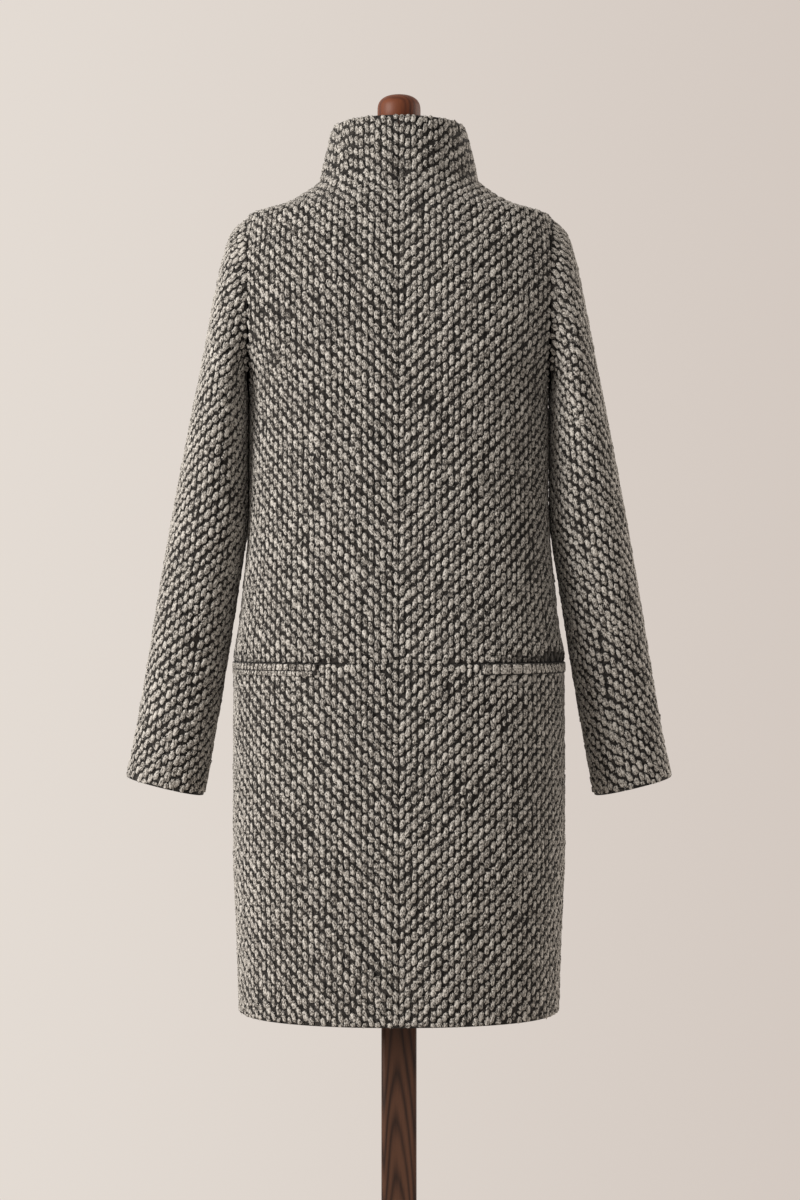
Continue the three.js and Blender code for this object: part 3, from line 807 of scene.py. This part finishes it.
def walnut(facts):
    """Oiled walnut: satin, with fine dark pores and growth rings"""
    wood = dict(zip(WOOD_COLUMNS, facts))
    along, ring_share = wood["along"], wood["ring_share"]
    dark, light = (getattr(colours(), f"{wood['shade']}_{end}") for end in ("dark", "light"))
    material = new_material(wood["material"])
    stretch = {"Z": (1, 1, 0.09), "Y": (1, 0.09, 1)}[along]
    bend = noise(material, object_point(material, stretch), 45, 2, 0.5)
    placed = add_node(
        material,
        "ShaderNodeMapping",
        links={"Vector": object_point(material)},
        values={
            "Rotation": (-HEART_LEAN, 0, 0),
            "Location": tuple(c * MM for c in wood["heart_mm"]),
        },
    ).outputs["Vector"]
    sideways = add_node(material, "ShaderNodeCombineXYZ", links={"X": bend, "Y": bend})
    shift = add_node(
        material,
        "ShaderNodeVectorMath",
        {"operation": "MULTIPLY_ADD"},
        {0: sideways.outputs["Vector"], 2: placed},
        {1: (RING_BEND, RING_BEND, 0.0)},
    )
    rings = add_node(
        material,
        "ShaderNodeTexWave",
        {"wave_type": "RINGS", "rings_direction": along, "wave_profile": "SIN"},
        {"Vector": shift.outputs["Vector"]},
        {"Scale": 0.314 / (wood["ring_mm"] * MM)},
    ).outputs["Fac"]
    rings = add_node(
        material, "ShaderNodeMath", {"operation": "POWER"}, {0: rings}, {1: 0.6}
    ).outputs[0]
    fine = {"Z": (1, 1, 0.03), "Y": (1, 0.03, 1)}[along]
    pores = noise(material, object_point(material, fine), 0.9, 2, 0.6)
    clouds = noise(material, object_point(material, stretch), 12, 2, 0.5)
    parts = ((rings, ring_share), (pores, 1.0 - ring_share), (clouds, 0.5))
    colour = ramp(material, sum_of(material, *parts, offset=-0.2), [(0.2, dark), (0.85, light)])
    finish = {
        "Roughness": 0.5,
        "Specular IOR Level": 0.35,
        "Coat Weight": 0.04,
        "Coat Roughness": 0.35,
    }
    set_surface(material, colour, pores, 0.25, 0.2, finish)
    return material


def material_named(name, make, *facts):
    """The material of that name, made the first time that it is asked for"""
    return bpy.data.materials.get(name) or make(*facts)


# Meshes


def add_object(name, mesh, material):
    for face in mesh.polygons:
        face.use_smooth = True
    mesh.materials.append(material)
    piece = bpy.data.objects.new(name, mesh)
    bpy.context.scene.collection.objects.link(piece)
    return piece


def mesh_from(bm, name):
    mesh = bpy.data.meshes.new(name)
    bm.to_mesh(mesh)
    bm.free()
    return mesh


def cloth_shell(name, points, normals, side, material):
    """The ground weave: a grid laid on the panel's points, thickened inwards, its rims rounded"""
    rows, across = points.shape[:2]
    bm = bmesh.new()
    bmesh.ops.create_grid(bm, x_segments=across - 1, y_segments=rows - 1, size=1)
    order = sorted(bm.verts, key=lambda v: (round(v.co.y, 5), round(v.co.x, 5)))
    place = (points - GROUND_DROP * normals) * MM
    place[..., 0] *= side
    for vert, co in zip(order, place.reshape(-1, 3)):
        vert.co = co
    bmesh.ops.recalc_face_normals(bm, faces=bm.faces)
    middle = len(order) // 2
    outward = Vector(normals.reshape(-1, 3)[middle] * (side, 1, 1))
    order[middle].normal_update()
    if order[middle].normal.dot(outward) < 0:
        bmesh.ops.reverse_faces(bm, faces=bm.faces)
    bmesh.ops.solidify(bm, geom=bm.faces[:], thickness=GROUND_THICKNESS * MM)
    rims = [e for e in bm.edges if e.is_manifold and e.calc_face_angle(0) > math.radians(55)]
    bmesh.ops.bevel(
        bm,
        geom=rims,
        offset=EDGE_ROUND * MM,
        segments=2,
        profile=0.5,
        affect="EDGES",
        material=-1,
    )
    return add_object(name, mesh_from(bm, name), material)


def spindle(sides, rings, squareness=1.0):
    """Corners and faces of a spindle with its poles at the ends of its length and a ridge on top"""
    bm = bmesh.new()
    ridge_up = Matrix.Rotation(math.pi / 2, 4, "Z")
    bmesh.ops.create_uvsphere(bm, u_segments=sides, v_segments=rings, radius=1, matrix=ridge_up)
    bmesh.ops.triangulate(bm, faces=bm.faces)
    corners = signed_power(np.array([v.co[:] for v in bm.verts]), 1 / squareness)
    faces = np.array([[v.index for v in f.verts] for f in bm.faces])
    bm.free()
    # The sphere's axis becomes the length: its y and z change places, and its faces turn round
    return corners[:, [0, 2, 1]], faces[:, ::-1]


def sample(at, run, values):
    """Linear samples of each column of values"""
    return np.stack([np.interp(at, run, column) for column in values.T], axis=-1)


def slow_waves(rows, v, rng):
    """The sum of waves of a height and a length, each with a random start, in millimetres"""
    starts = rng.uniform(0, TAU, len(rows))
    return sum(high * np.sin(v / length + start) for (high, length), start in zip(rows, starts))


def end_margin(point):
    """How far from a panel's upper or lower edge its tufts end"""
    if point[2] < HEM_Z + 3:
        return HEM_MARGIN
    if abs(point[2] - HIP_SEAM_Z) > 3:
        return END_MARGIN
    return HIP_MARGIN if point[0] < HIP_LIGHT_X else HIP_OPEN_MARGIN


def tufts_of_column(line, room, level, k, rng):
    """Tufts down one unbroken run of a column: centre, extents and directions"""
    points, normals, sideways = line
    period = sizes().tuft_period / MM
    length = sizes().tuft_length / MM
    width = sizes().tuft_width / MM
    v = run_of(points)
    anchor = int(np.argmin(np.abs(level)))
    v = v - v[anchor] + level[anchor]
    phase = WEAVE_SHIFT * k * period + rng.normal(0, PHASE_JITTER)
    first = math.ceil((v[0] - length / 2 - phase) / period) * period + phase
    middle = np.arange(first, v[-1] + length / 2, period)
    middle = middle + slow_waves(COLUMN_WAVES, middle, rng)
    on_collar = smooth_step((np.interp(middle, v, points[:, 2]) - COLLAR_LOW_Z) / COLLAR_BLEND)
    middle = middle + rng.normal(0, PLACE_JITTER, len(middle))
    middle = middle + rng.uniform(-COLLAR_SHIFT, COLLAR_SHIFT) * on_collar
    size = rng.normal(1, SIZE_JITTER, (2, len(middle)))
    size[:, rng.uniform(0, 1, len(middle)) < SMALL_SHARE] *= SMALL_SIZE
    margins = [end_margin(points[i]) for i in (0, -1)]
    low = np.maximum(middle - length / 2 * size[0], v[0] + margins[0])
    high = np.minimum(middle + length / 2 * size[0], v[-1] - margins[1])
    kept = high - low > SHORTEST_TUFT
    low, high, size = low[kept], high[kept], size[:, kept]
    centre_v = (low + high) / 2
    drift = slow_waves(DRIFT_WAVES, centre_v, rng)
    before, after = (np.interp(centre_v, v, side) for side in room.T)
    left = np.maximum(drift - width / 2 * size[1], -before + EDGE_MARGIN)
    right = np.minimum(drift + width / 2 * size[1], after - EDGE_MARGIN)
    kept = right - left > NARROWEST_TUFT
    low, high, centre_v, left, right = (a[kept] for a in (low, high, centre_v, left, right))
    normal = unit(sample(centre_v, v, normals))
    lengthways = unit(sample(centre_v + 2, v, points) - sample(centre_v - 2, v, points))
    side_way = sample(centre_v, v, sideways)
    side_way = unit(side_way - (side_way * lengthways).sum(1, keepdims=True) * lengthways)
    centre = sample(centre_v, v, points) + ((left + right) / 2)[:, None] * side_way
    return centre, (right - left) / 2, (high - low) / 2, lengthways, side_way, normal


def lay_tufts(panel, rng):
    """Every tuft of a panel, with its directions turned by the weave's lean"""
    points, normals, across, level, valid = panel.weave_grid()
    spacing = sizes().column_spacing / MM
    ends = np.array(
        [
            (run[met].min(), run[met].max()) if met.any() else (0, 0)
            for run, met in zip(across, valid)
        ]
    )
    found = []
    for k in range(math.floor(across.min() / spacing), math.ceil(across.max() / spacing)):
        u = (k + 0.5) * spacing
        line = np.array([sample([u], run, p)[0] for run, p in zip(across, points)])
        beside = np.array([sample([u + 1], run, p)[0] for run, p in zip(across, points)])
        normal = np.array([sample([u], run, n)[0] for run, n in zip(across, normals)])
        met = np.array([np.interp(u, run, m) > 0.99 for run, m in zip(across, valid * 1.0)])
        room = np.stack([u - ends[:, 0], ends[:, 1] - u], axis=-1) + panel.overhang
        met &= (room > NARROWEST_TUFT / 2).all(axis=1)
        rows = np.flatnonzero(met)
        for run in np.split(rows, np.flatnonzero(np.diff(rows) > 1) + 1):
            if len(run) > 2:
                whole = (line[run], normal[run], beside[run] - line[run])
                found.append(tufts_of_column(whole, room[run], level[run], k, rng))
    centre, half_width, half_length, lengthways, side_way, normal = (
        np.concatenate(part) for part in zip(*found)
    )
    turn = (sizes().tuft_lean + rng.normal(0, TURN_JITTER, len(centre)))[:, None]
    length_way = unit(np.cos(turn) * lengthways + np.sin(turn) * side_way)
    width_way = np.cross(length_way, normal)
    return centre, half_width, half_length, length_way, unit(width_way), normal


def spindles(template, laid, height, lift, tones, ragged, rng):
    """Copies of a spindle: corners, faces, and each corner's strand place, tone and rise"""
    shape, faces = template
    centre, half_width, half_length, length_way, width_way, normal = laid
    count = len(centre)
    rough = shape[None] * (1 + rng.normal(0, ragged, (count, len(shape), 1)))
    local = rough * np.stack([half_width, half_length, height], axis=-1)[:, None, :]
    local[..., 2] = np.where(local[..., 2] < 0, UNDERSIDE * local[..., 2], local[..., 2])
    corners = (
        (centre + (np.zeros(count) + lift - GROUND_DROP)[:, None] * normal)[:, None, :]
        + local[..., :1] * width_way[:, None, :]
        + local[..., 1:2] * length_way[:, None, :]
        + local[..., 2:] * normal[:, None, :]
    )
    triangles = faces[None] + np.arange(count)[:, None, None] * len(shape)
    strand = local * MM + rng.uniform(0, 1, (count, 1, 3))
    tone = np.repeat(tones, len(shape))
    rise = np.tile(np.clip(shape[:, 2], 0, 1), count)
    return corners.reshape(-1, 3), triangles.reshape(-1, 3), strand.reshape(-1, 3), tone, rise


def moved_on(laid, across, along, turn, half_width, half_length):
    """Smaller spindles, moved across and along from the middle of each tuft and turned"""
    centre, _, _, length_way, width_way, normal = laid
    moved = centre + across[:, None] * width_way + along[:, None] * length_way
    way = unit(np.cos(turn)[:, None] * length_way + np.sin(turn)[:, None] * width_way)
    return moved, half_width, half_length, way, unit(np.cross(way, normal)), normal


def locks_on(laid, heights, tones, rng):
    """Locks of fibre that lie on each tuft, reach past its edge and give it a ragged outline"""
    laid = tuple(np.repeat(part, LOCKS, axis=0) for part in laid)
    _, half_width, half_length, *_ = laid
    count = len(half_width)
    place = np.tile(np.linspace(-LOCK_SPREAD, LOCK_SPREAD, LOCKS), count // LOCKS)
    place = place + rng.normal(0, LOCK_JITTER, count)
    reach = rng.uniform(*LOCK_REACH, count)
    along = rng.uniform(-1, 1, count) * (1.0 - reach) * half_length
    turn = rng.normal(0, LOCK_TURN, count)
    size = (LOCK_WIDTH * half_width, reach * half_length)
    height = np.repeat(heights, LOCKS) * rng.uniform(*LOCK_HEIGHT, count)
    tone = np.repeat(tones, LOCKS) + rng.normal(*LOCK_TONE, count)
    return moved_on(laid, place * half_width, along, turn, *size), height, tone


def wisps_round(laid, tones, rng):
    """Loose fibres that bridge the gaps beside each tuft"""
    laid = tuple(np.repeat(part, WISPS, axis=0) for part in laid)
    _, half_width, half_length, *_ = laid
    count = len(half_width)
    across = rng.choice([-1, 1], count) * half_width * rng.uniform(*WISP_ACROSS, count)
    along = half_length * rng.uniform(*WISP_ALONG, count)
    turn = rng.normal(0, WISP_TURN, count)
    half = rng.uniform(*WISP_LENGTH, count)
    thin = rng.uniform(*WISP_THICKNESS, count)
    tone = np.repeat(tones, WISPS) + rng.normal(*WISP_TONE, count)
    lift = rng.uniform(*WISP_LIFT, count)
    return moved_on(laid, across, along, turn, thin, half), WISP_FLATNESS * thin, lift, tone


def tuft_piece(name, laid, tones, side, material, rng, height=None):
    """Every tuft of one panel with its loose fibres, joined into one mesh"""
    count = len(laid[0])
    heights = (height or sizes().tuft_height / MM) * rng.normal(1, HEIGHT_JITTER, count)
    if height is None:
        batches = [spindles(spindle(*TUFT_SHAPE), laid, heights, 0, tones, TUFT_RAGGED, rng)]
        locks, high, tone = locks_on(laid, heights, tones, rng)
        batches.append(spindles(spindle(*LOCK_SHAPE), locks, high, 0, tone, LOCK_RAGGED, rng))
        wisps, high, lift, tone = wisps_round(laid, tones, rng)
        batches.append(spindles(spindle(*WISP_SHAPE), wisps, high, lift, tone, WISP_RAGGED, rng))
        batches[-1][4][:] = 1  # a wisp's rise, so that it shows no dark flank
    else:
        batches = [spindles(spindle(*BLOCK_SHAPE), laid, heights, 0, tones, BLOCK_RAGGED, rng)]
    corners, triangles, strand, tone, rise = [], [], [], [], []
    for batch in batches:
        triangles.append(batch[1] + sum(len(part) for part in corners))
        for values, part in zip((corners, strand, tone, rise), (batch[0], *batch[2:])):
            values.append(part)
    corners, strand, tone, rise = (np.concatenate(v) for v in (corners, strand, tone, rise))
    triangles = np.concatenate(triangles)
    corners = corners * MM
    corners[:, 0] *= side
    if side < 0:
        triangles = triangles[:, ::-1]
    mesh = bpy.data.meshes.new(name)
    mesh.vertices.add(len(corners))
    mesh.vertices.foreach_set("co", corners.ravel())
    mesh.loops.add(triangles.size)
    mesh.loops.foreach_set("vertex_index", triangles.ravel().astype(np.int32))
    mesh.polygons.add(len(triangles))
    mesh.polygons.foreach_set("loop_start", np.arange(0, triangles.size, 3, dtype=np.int32))
    mesh.update(calc_edges=True)
    for key, kind, slot, values in (
        ("strand", "FLOAT_VECTOR", "vector", strand.ravel()),
        ("tone", "FLOAT", "value", tone),
        ("rise", "FLOAT", "value", rise),
    ):
        mesh.attributes.new(key, kind, "POINT").data.foreach_set(slot, values)
    mesh.validate()
    mesh.update()
    return add_object(name, mesh, material)


def inset_edges(panel, points):
    """Leaves half the seam gap at the edges that are sewn to a neighbour"""
    if panel.part == "body":
        if panel.face == BACK:
            points[:, 0, 0] = SEAM_GAP / 2
        side_edge = np.abs(points[:, -1, 1]) < 1
        points[side_edge, -1, 1] = panel.face * SEAM_GAP / 2
        return points
    points[:, 0] += SEAM_GAP / 2 * unit(points[:, 1] - points[:, 0])
    points[:, -1] += SEAM_GAP / 2 * unit(points[:, -2] - points[:, -1])
    return points


def hand_over_cloth(shell, tufts, node):
    """Parents a piece of cloth and its tufts to the root's empty and hides the part of model.glb
    that they replace
    """
    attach(shell, ROOT)
    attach(tufts, ROOT)
    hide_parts(node)


def build_panel(key, side, index):
    """One panel: its ground weave and its tufts"""
    sign = SIDES[side]
    panel = coat_panel(key, side)
    points, normals = panel.cloth_grid(sizes().shell_spacing / MM)
    points = inset_edges(panel, points)
    ground = material_named("ground_wool_charcoal", ground_wool)
    shell = cloth_shell(f"{key}_cloth_{side}", points, normals, sign, ground)

    rng = np.random.default_rng([sizes().seed, index])
    laid = lay_tufts(panel, rng)
    centre = laid[0]
    mouth = 0 * centre[:, 0]
    kept = np.ones(len(centre), bool)
    if panel.part == "body":
        # Painted shadow: the tufts in a pocket's mouth are darkened, to near black where the right
        # mouth gapes
        mouth = mouth_share(centre)
        if side == "right":
            mouth += MOUTH_PAINTED_SHADOW * mouth * smooth_step((centre[:, 0] - MOUTH_PAINTED_SHADOW_X) / 4)
    if panel.under:
        kept &= centre[:, 0] > LAP + 3
    laid = tuple(part[kept] for part in laid)
    tones = rng.normal(0, TONE_JITTER, len(laid[0])) - MOUTH_PAINTED_SHADE[side] * mouth[kept]
    tones += SLEEVE_TONE if panel.part == "sleeve" else 0
    x, _, z = laid[0].T
    if key == "back_lower":
        row = smooth_step((x - HIP_LIGHT_X) / 25) * (z > HIP_SEAM_Z - WELT_HEIGHT - 2)
        tones += HIP_LIGHT[side] * row
    if key == "back_upper":
        # Painted shade in the drawn-in centre-back seam below the collar
        level = smooth_step((z - PINCH_LOW_Z) / 8) * smooth_step((PINCH_HIGH_Z - z) / 8)
        tones -= PINCH_PAINTED_SHADE * np.exp(-((x / PINCH_REACH) ** 2)) * level
    wool = material_named("tuft_wool_light_roving", tuft_wool)
    tufts = tuft_piece(f"{key}_tufts_{side}", laid, tones, sign, wool, rng)
    hand_over_cloth(shell, tufts, f"{key}_{side}")


PANEL_KEYS = ("back_upper", "back_lower", "front_upper", "front_lower")
SLEEVE_KEYS = ("top_sleeve", "under_sleeve")


class OVERCOAT_OT_body(bpy.types.Operator):
    """Back and front panels with the grown-on collar"""

    bl_idname = "overcoat.body"
    bl_label = "Body Panels"

    def execute(self, context):
        for index, key in enumerate(PANEL_KEYS):
            for turn, side in enumerate(SIDES):
                build_panel(key, side, 2 * index + turn)
        return {"FINISHED"}


class OVERCOAT_OT_sleeves(bpy.types.Operator):
    """Two-piece sleeves"""

    bl_idname = "overcoat.sleeves"
    bl_label = "Sleeves"

    def execute(self, context):
        for index, key in enumerate(SLEEVE_KEYS):
            for turn, side in enumerate(SIDES):
                build_panel(key, side, 20 + 2 * index + turn)
        return {"FINISHED"}


def welt_surface(rows, across):
    """Points and normals of the left welt's seat on the skirt, from the back round the side"""
    z = np.array(rows)[:, None]
    start = angle_at(z, BACK, WELT_START_X)
    end = angle_at(z, FRONT, WELT_END_X)
    turn = start + (math.pi - end - start) * across[None, :]
    on_back = turn <= math.pi / 2
    angle = np.where(on_back, turn, math.pi - turn)
    return tuple(
        np.where(on_back[..., None], surface(z, BACK, angle), surface(z, FRONT, angle))
        for surface in (body_point, body_normal)
    )


def welt_lift(across):
    """How far the welt's face stands off the skirt, from its inner end to its end round the side"""
    return SEAM_GAP + WELT_THICKNESS - WELT_PRESS * smooth_step((across - 0.4) / 0.25)


def welt_line(z):
    """Run, points and normals along the welt's face at one height"""
    across = np.linspace(0, 1, 200)
    middle, normal = welt_surface([z] * 2, across)
    middle = middle[0] + welt_lift(across)[:, None] * normal[0]
    return run_of(middle), middle, normal[0]


def welt_row(breaks, high_z, low_z, gap, rng):
    """One row of blocks and strands laid across the welt between breaks in its length"""
    run, middle, normal = welt_line((high_z + low_z) / 2)
    at = (breaks[1:] + breaks[:-1]) / 2
    centre = sample(at, run, middle)
    side_way = unit(sample(at + 1, run, middle) - centre)
    up = unit(sample(at, run, normal))
    upright = unit(np.cross(up, side_way))
    round_side = smooth_step((at - WELT_BLOCKS) / 20)
    lean = WELT_LEAN * round_side * rng.uniform(0.7, 1.3, len(at))
    lean = lean + rng.normal(0, 0.06, len(at))
    upright = unit(upright + lean[:, None] * side_way)
    half_width = np.diff(breaks) / 2 - gap - 0.6 * round_side
    reach = (high_z - low_z) / 2 * rng.uniform(0.88, 1.0, len(at))
    return centre, half_width, reach, upright, unit(np.cross(upright, up)), up


class OVERCOAT_OT_welts(bpy.types.Operator):
    """Narrow pocket welts, cut across the weave"""

    bl_idname = "overcoat.welts"
    bl_label = "Pocket Welts"

    def execute(self, context):
        ground = material_named("ground_wool_charcoal", ground_wool)
        wool = material_named("tuft_wool_light_roving", tuft_wool)
        for turn, (side, sign) in enumerate(SIDES.items()):
            rng = np.random.default_rng([sizes().seed, 40 + turn])
            rows = spaced(HIP_SEAM_Z - SEAM_GAP / 2, HIP_SEAM_Z - WELT_HEIGHT, 3)
            across = np.linspace(0, 1, 40)
            points, normals = welt_surface(rows, across)
            points = points + welt_lift(across)[None, :, None] * normals
            shell = cloth_shell(f"pocket_welt_cloth_{side}", points, normals, sign, ground)

            breaks = np.cumsum(rng.choice(WELT_BLOCK_LENGTHS[side], 40))
            breaks = np.insert(breaks[breaks < WELT_BLOCKS], 0, 1)
            strands = np.arange(breaks[-1], welt_line(HIP_SEAM_Z)[0][-1] - 2, WELT_STRAND)
            breaks = np.concatenate([breaks, strands[1:]])
            low_z = HIP_SEAM_Z - WELT_HEIGHT + WELT_COVERED[side]
            laid = welt_row(breaks, HIP_SEAM_Z - 0.4, low_z + 0.4, WELT_GAP, rng)
            if WELT_COVERED[side]:
                breaks = np.cumsum(rng.uniform(*FRINGE_WIDTH, 60))
                breaks = breaks[breaks < strands[-1]]
                fringe = welt_row(breaks, low_z + 0.2, HIP_SEAM_Z - WELT_HEIGHT - 1.4, 0.2, rng)
                laid = tuple(np.concatenate(pair) for pair in zip(laid, fringe))
            tones = rng.normal(WELT_TONE_WITH_PAINTED_SHADE[side], WELT_TONE_JITTER, len(laid[0]))
            tufts = tuft_piece(f"pocket_welt_tufts_{side}", laid, tones, sign, wool, rng, WELT_NAP)
            node, skirt = f"pocket_welt_{side}", f"back_lower_cloth_{side}"
            hand_over_cloth(shell, tufts, node)
        return {"FINISHED"}


def hand_over(piece, node):
    """Parents a piece of the form or its stand to the root's empty and hides the part of model.glb
    that it replaces
    """
    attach(piece, ROOT)
    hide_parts(node)


class OVERCOAT_OT_form(bpy.types.Operator):
    """Limbless dress form"""

    bl_idname = "overcoat.form"
    bl_label = "Dress Form"

    def execute(self, context):
        cover = material_named("form_linen_plain_weave", linen)
        bm = bmesh.new()
        bm.from_mesh(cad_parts["form_torso"].data)
        bmesh.ops.remove_doubles(bm, verts=bm.verts, dist=0.05 * MM)
        bmesh.ops.smooth_vert(bm, verts=bm.verts, factor=0.25, use_axis_x=True, use_axis_y=True)
        bm.normal_update()
        for vert in bm.verts:
            if FORM_EASE_LOW_Z < vert.co.z / MM < FORM_EASE_HIGH_Z:
                vert.co -= FORM_EASE * MM * vert.normal
        piece = add_object("form_torso_cover", mesh_from(bm, "form_torso_cover"), cover)
        rounding = piece.modifiers.new("Rounding", "SUBSURF")
        rounding.levels = rounding.render_levels = 1
        hand_over(piece, "form_torso")
        return {"FINISHED"}


def turned_piece(name, profile, material, steps=64):
    """A turned piece from (radius, height) points in millimetres, from the axis to the axis"""
    bm = bmesh.new()
    verts = [bm.verts.new((radius * MM, 0, height * MM)) for radius, height in profile]
    edges = [bm.edges.new(pair) for pair in zip(verts, verts[1:])]
    bmesh.ops.spin(
        bm,
        geom=verts + edges,
        axis=(0, 0, 1),
        cent=(0, 0, 0),
        angle=TAU,
        steps=steps,
        use_merge=True,
    )
    bmesh.ops.remove_doubles(bm, verts=bm.verts, dist=0.01 * MM)
    bmesh.ops.recalc_face_normals(bm, faces=bm.faces)
    return add_object(name, mesh_from(bm, name), material)


def disc_profile(radius, bottom, top, round_mm):
    """Outline of a turned disc with rounded corners"""
    profile = [(0, bottom)]
    for centre_z, start in ((bottom + round_mm, -math.pi / 2), (top - round_mm, 0)):
        for i in range(CORNER_POINTS):
            turn = start + math.pi / 2 * i / (CORNER_POINTS - 1)
            out = radius - round_mm + round_mm * math.cos(turn)
            profile.append((out, centre_z + round_mm * math.sin(turn)))
    return [*profile, (0, top)]


class OVERCOAT_OT_stand(bpy.types.Operator):
    """Neck cap, finial, post and base"""

    bl_idname = "overcoat.stand"
    bl_label = "Stand"

    def execute(self, context):
        woods = (STAND_WOOD, FINIAL_WOOD, BOARD_WOOD)
        stand, knob, board = (material_named(wood[0], walnut, wood) for wood in woods)
        low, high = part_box("neck_cap")
        profile = disc_profile(CAP_RADIUS, low[2] / MM, high[2] / MM, CAP_ROUND)
        cap = turned_piece("neck_cap_wood", profile, board)

        low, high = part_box("finial")
        bottom = low[2] / MM
        dome = []
        for i in range(FINIAL_STEPS):
            angle = math.pi / 2 * i / FINIAL_STEPS
            out = math.cos(angle) ** (2 / FINIAL_SQUARENESS)
            rise = math.sin(angle) ** (2 / FINIAL_SQUARENESS)
            dome.append((FINIAL_RADIUS * out, FINIAL_TOP_Z - FINIAL_DOME * (1 - rise)))
        profile = [(0, bottom), (FINIAL_RADIUS, bottom), *dome, (0, FINIAL_TOP_Z)]
        finial = turned_piece("finial_wood", profile, knob)

        low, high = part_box("post")
        bm = bmesh.new()
        centre = Vector((0, 0, (low[2] + high[2]) / 2))
        size = (POST_WIDTH * MM, POST_WIDTH * MM, high[2] - low[2])
        bmesh.ops.create_cube(bm, size=1, matrix=Matrix.LocRotScale(centre, None, Vector(size)))
        upright = [e for e in bm.edges if abs(e.verts[0].co.z - e.verts[1].co.z) > 0.1]
        bmesh.ops.bevel(
            bm,
            geom=upright,
            offset=POST_ROUND * MM,
            segments=5,
            profile=0.5,
            affect="EDGES",
            material=-1,
        )
        post = add_object("post_wood", mesh_from(bm, "post_wood"), stand)
        sharp = post.modifiers.new("Flat faces", "WEIGHTED_NORMAL")
        sharp.keep_sharp = True

        profile = disc_profile(BASE_RADIUS, 0, BASE_THICKNESS, BASE_ROUND)
        base = turned_piece("base_wood", profile, board, 96)

        hand_over(cap, "neck_cap")
        hand_over(finial, "finial")
        hand_over(post, "post")
        hand_over(base, "base")
        return {"FINISHED"}


# Studio


def area_light(name, place, width, height, power, colour):
    data = bpy.data.lights.new(name, "AREA")
    data.shape = "RECTANGLE"
    data.size = width
    data.size_y = height
    data.energy = power
    data.color = linear(colour)
    lamp = bpy.data.objects.new(name, data)
    lamp.location = place
    aim = Vector(LIGHT_TARGET) - Vector(place)
    lamp.rotation_euler = aim.to_track_quat("-Z", "Y").to_euler()
    bpy.context.scene.collection.objects.link(lamp)


class OVERCOAT_OT_studio(bpy.types.Operator):
    """Camera, lights, background and floor"""

    bl_idname = "overcoat.studio"
    bl_label = "Studio"

    def execute(self, context):
        scene = context.scene
        scene.view_settings.view_transform = "Standard"
        data = bpy.data.cameras.new("camera")
        data.lens = CAMERA_LENS_MM
        data.sensor_width = CAMERA_SENSOR_MM
        camera = bpy.data.objects.new("camera", data)
        camera.location = CAMERA_PLACE
        camera.rotation_euler = (math.pi / 2, 0, math.pi)
        scene.collection.objects.link(camera)
        scene.camera = camera

        for light in LIGHTS:
            area_light(*light)

        world = bpy.data.worlds.new("studio_world")
        scene.world = world
        world.use_nodes = True
        shader = world.node_tree.nodes["Background"]
        way = add_node(world, "ShaderNodeTexCoord").outputs["Generated"]
        parts = add_node(world, "ShaderNodeSeparateXYZ", links={"Vector": way})
        share = eased(world, parts.outputs["X"], *BACKDROP_FADE)
        backdrop = ramp(world, share, [(0, linear(BACKDROP_DIM)), (1, linear(BACKDROP_LIGHT))])
        seen = eased(world, parts.outputs["Y"], *SURROUNDINGS_FADE)
        whole = blend_colour(world, seen, linear(SURROUNDINGS), backdrop)
        link(world, whole, shader.inputs["Color"])
        shader.inputs["Strength"].default_value = 1.0

        bm = bmesh.new()
        bmesh.ops.create_circle(bm, cap_ends=True, segments=96, radius=FLOOR_RADIUS)
        paint = new_material("studio_floor_matt_paint")
        shader = paint.node_tree.nodes["Principled BSDF"]
        shader.inputs["Base Color"].default_value = (*linear(FLOOR_COLOUR), 1)
        shader.inputs["Roughness"].default_value = 0.9
        way = {0: object_point(paint)}
        out = add_node(paint, "ShaderNodeVectorMath", {"operation": "LENGTH"}, way)
        fade = eased(paint, out.outputs["Value"], *FLOOR_FADE)
        link(paint, fade, shader.inputs["Alpha"])
        floor = add_object("floor", mesh_from(bm, "floor"), paint)
        return {"FINISHED"}


class OVERCOAT_PT_panel(bpy.types.Panel):
    """Lists the overcoat's operators"""

    bl_idname = "OVERCOAT_PT_panel"
    bl_label = "Overcoat"
    bl_space_type = "VIEW_3D"
    bl_region_type = "UI"
    bl_category = "Overcoat"

    def draw(self, context):
        for operator in OPERATORS:
            self.layout.operator(operator.bl_idname)
        for group in (context.scene.overcoat_sizes, context.scene.overcoat_colours):
            for name in group.__annotations__:
                self.layout.prop(group, name)


OPERATORS = (
    OVERCOAT_OT_studio,
    OVERCOAT_OT_body,
    OVERCOAT_OT_sleeves,
    OVERCOAT_OT_welts,
    OVERCOAT_OT_form,
    OVERCOAT_OT_stand,
)
CLASSES = (OvercoatSizes, OvercoatColours, *OPERATORS, OVERCOAT_PT_panel)


def register():
    for cls in CLASSES:
        bpy.utils.register_class(cls)
    bpy.types.Scene.overcoat_sizes = PointerProperty(type=OvercoatSizes)
    bpy.types.Scene.overcoat_colours = PointerProperty(type=OvercoatColours)


def unregister():
    del bpy.types.Scene.overcoat_colours
    del bpy.types.Scene.overcoat_sizes
    for cls in reversed(CLASSES):
        bpy.utils.unregister_class(cls)


def main():
    register()
    for name in ("studio", "body", "sleeves", "welts", "form", "stand"):
        getattr(bpy.ops.overcoat, name)()


if __name__ == "__main__":
    main()
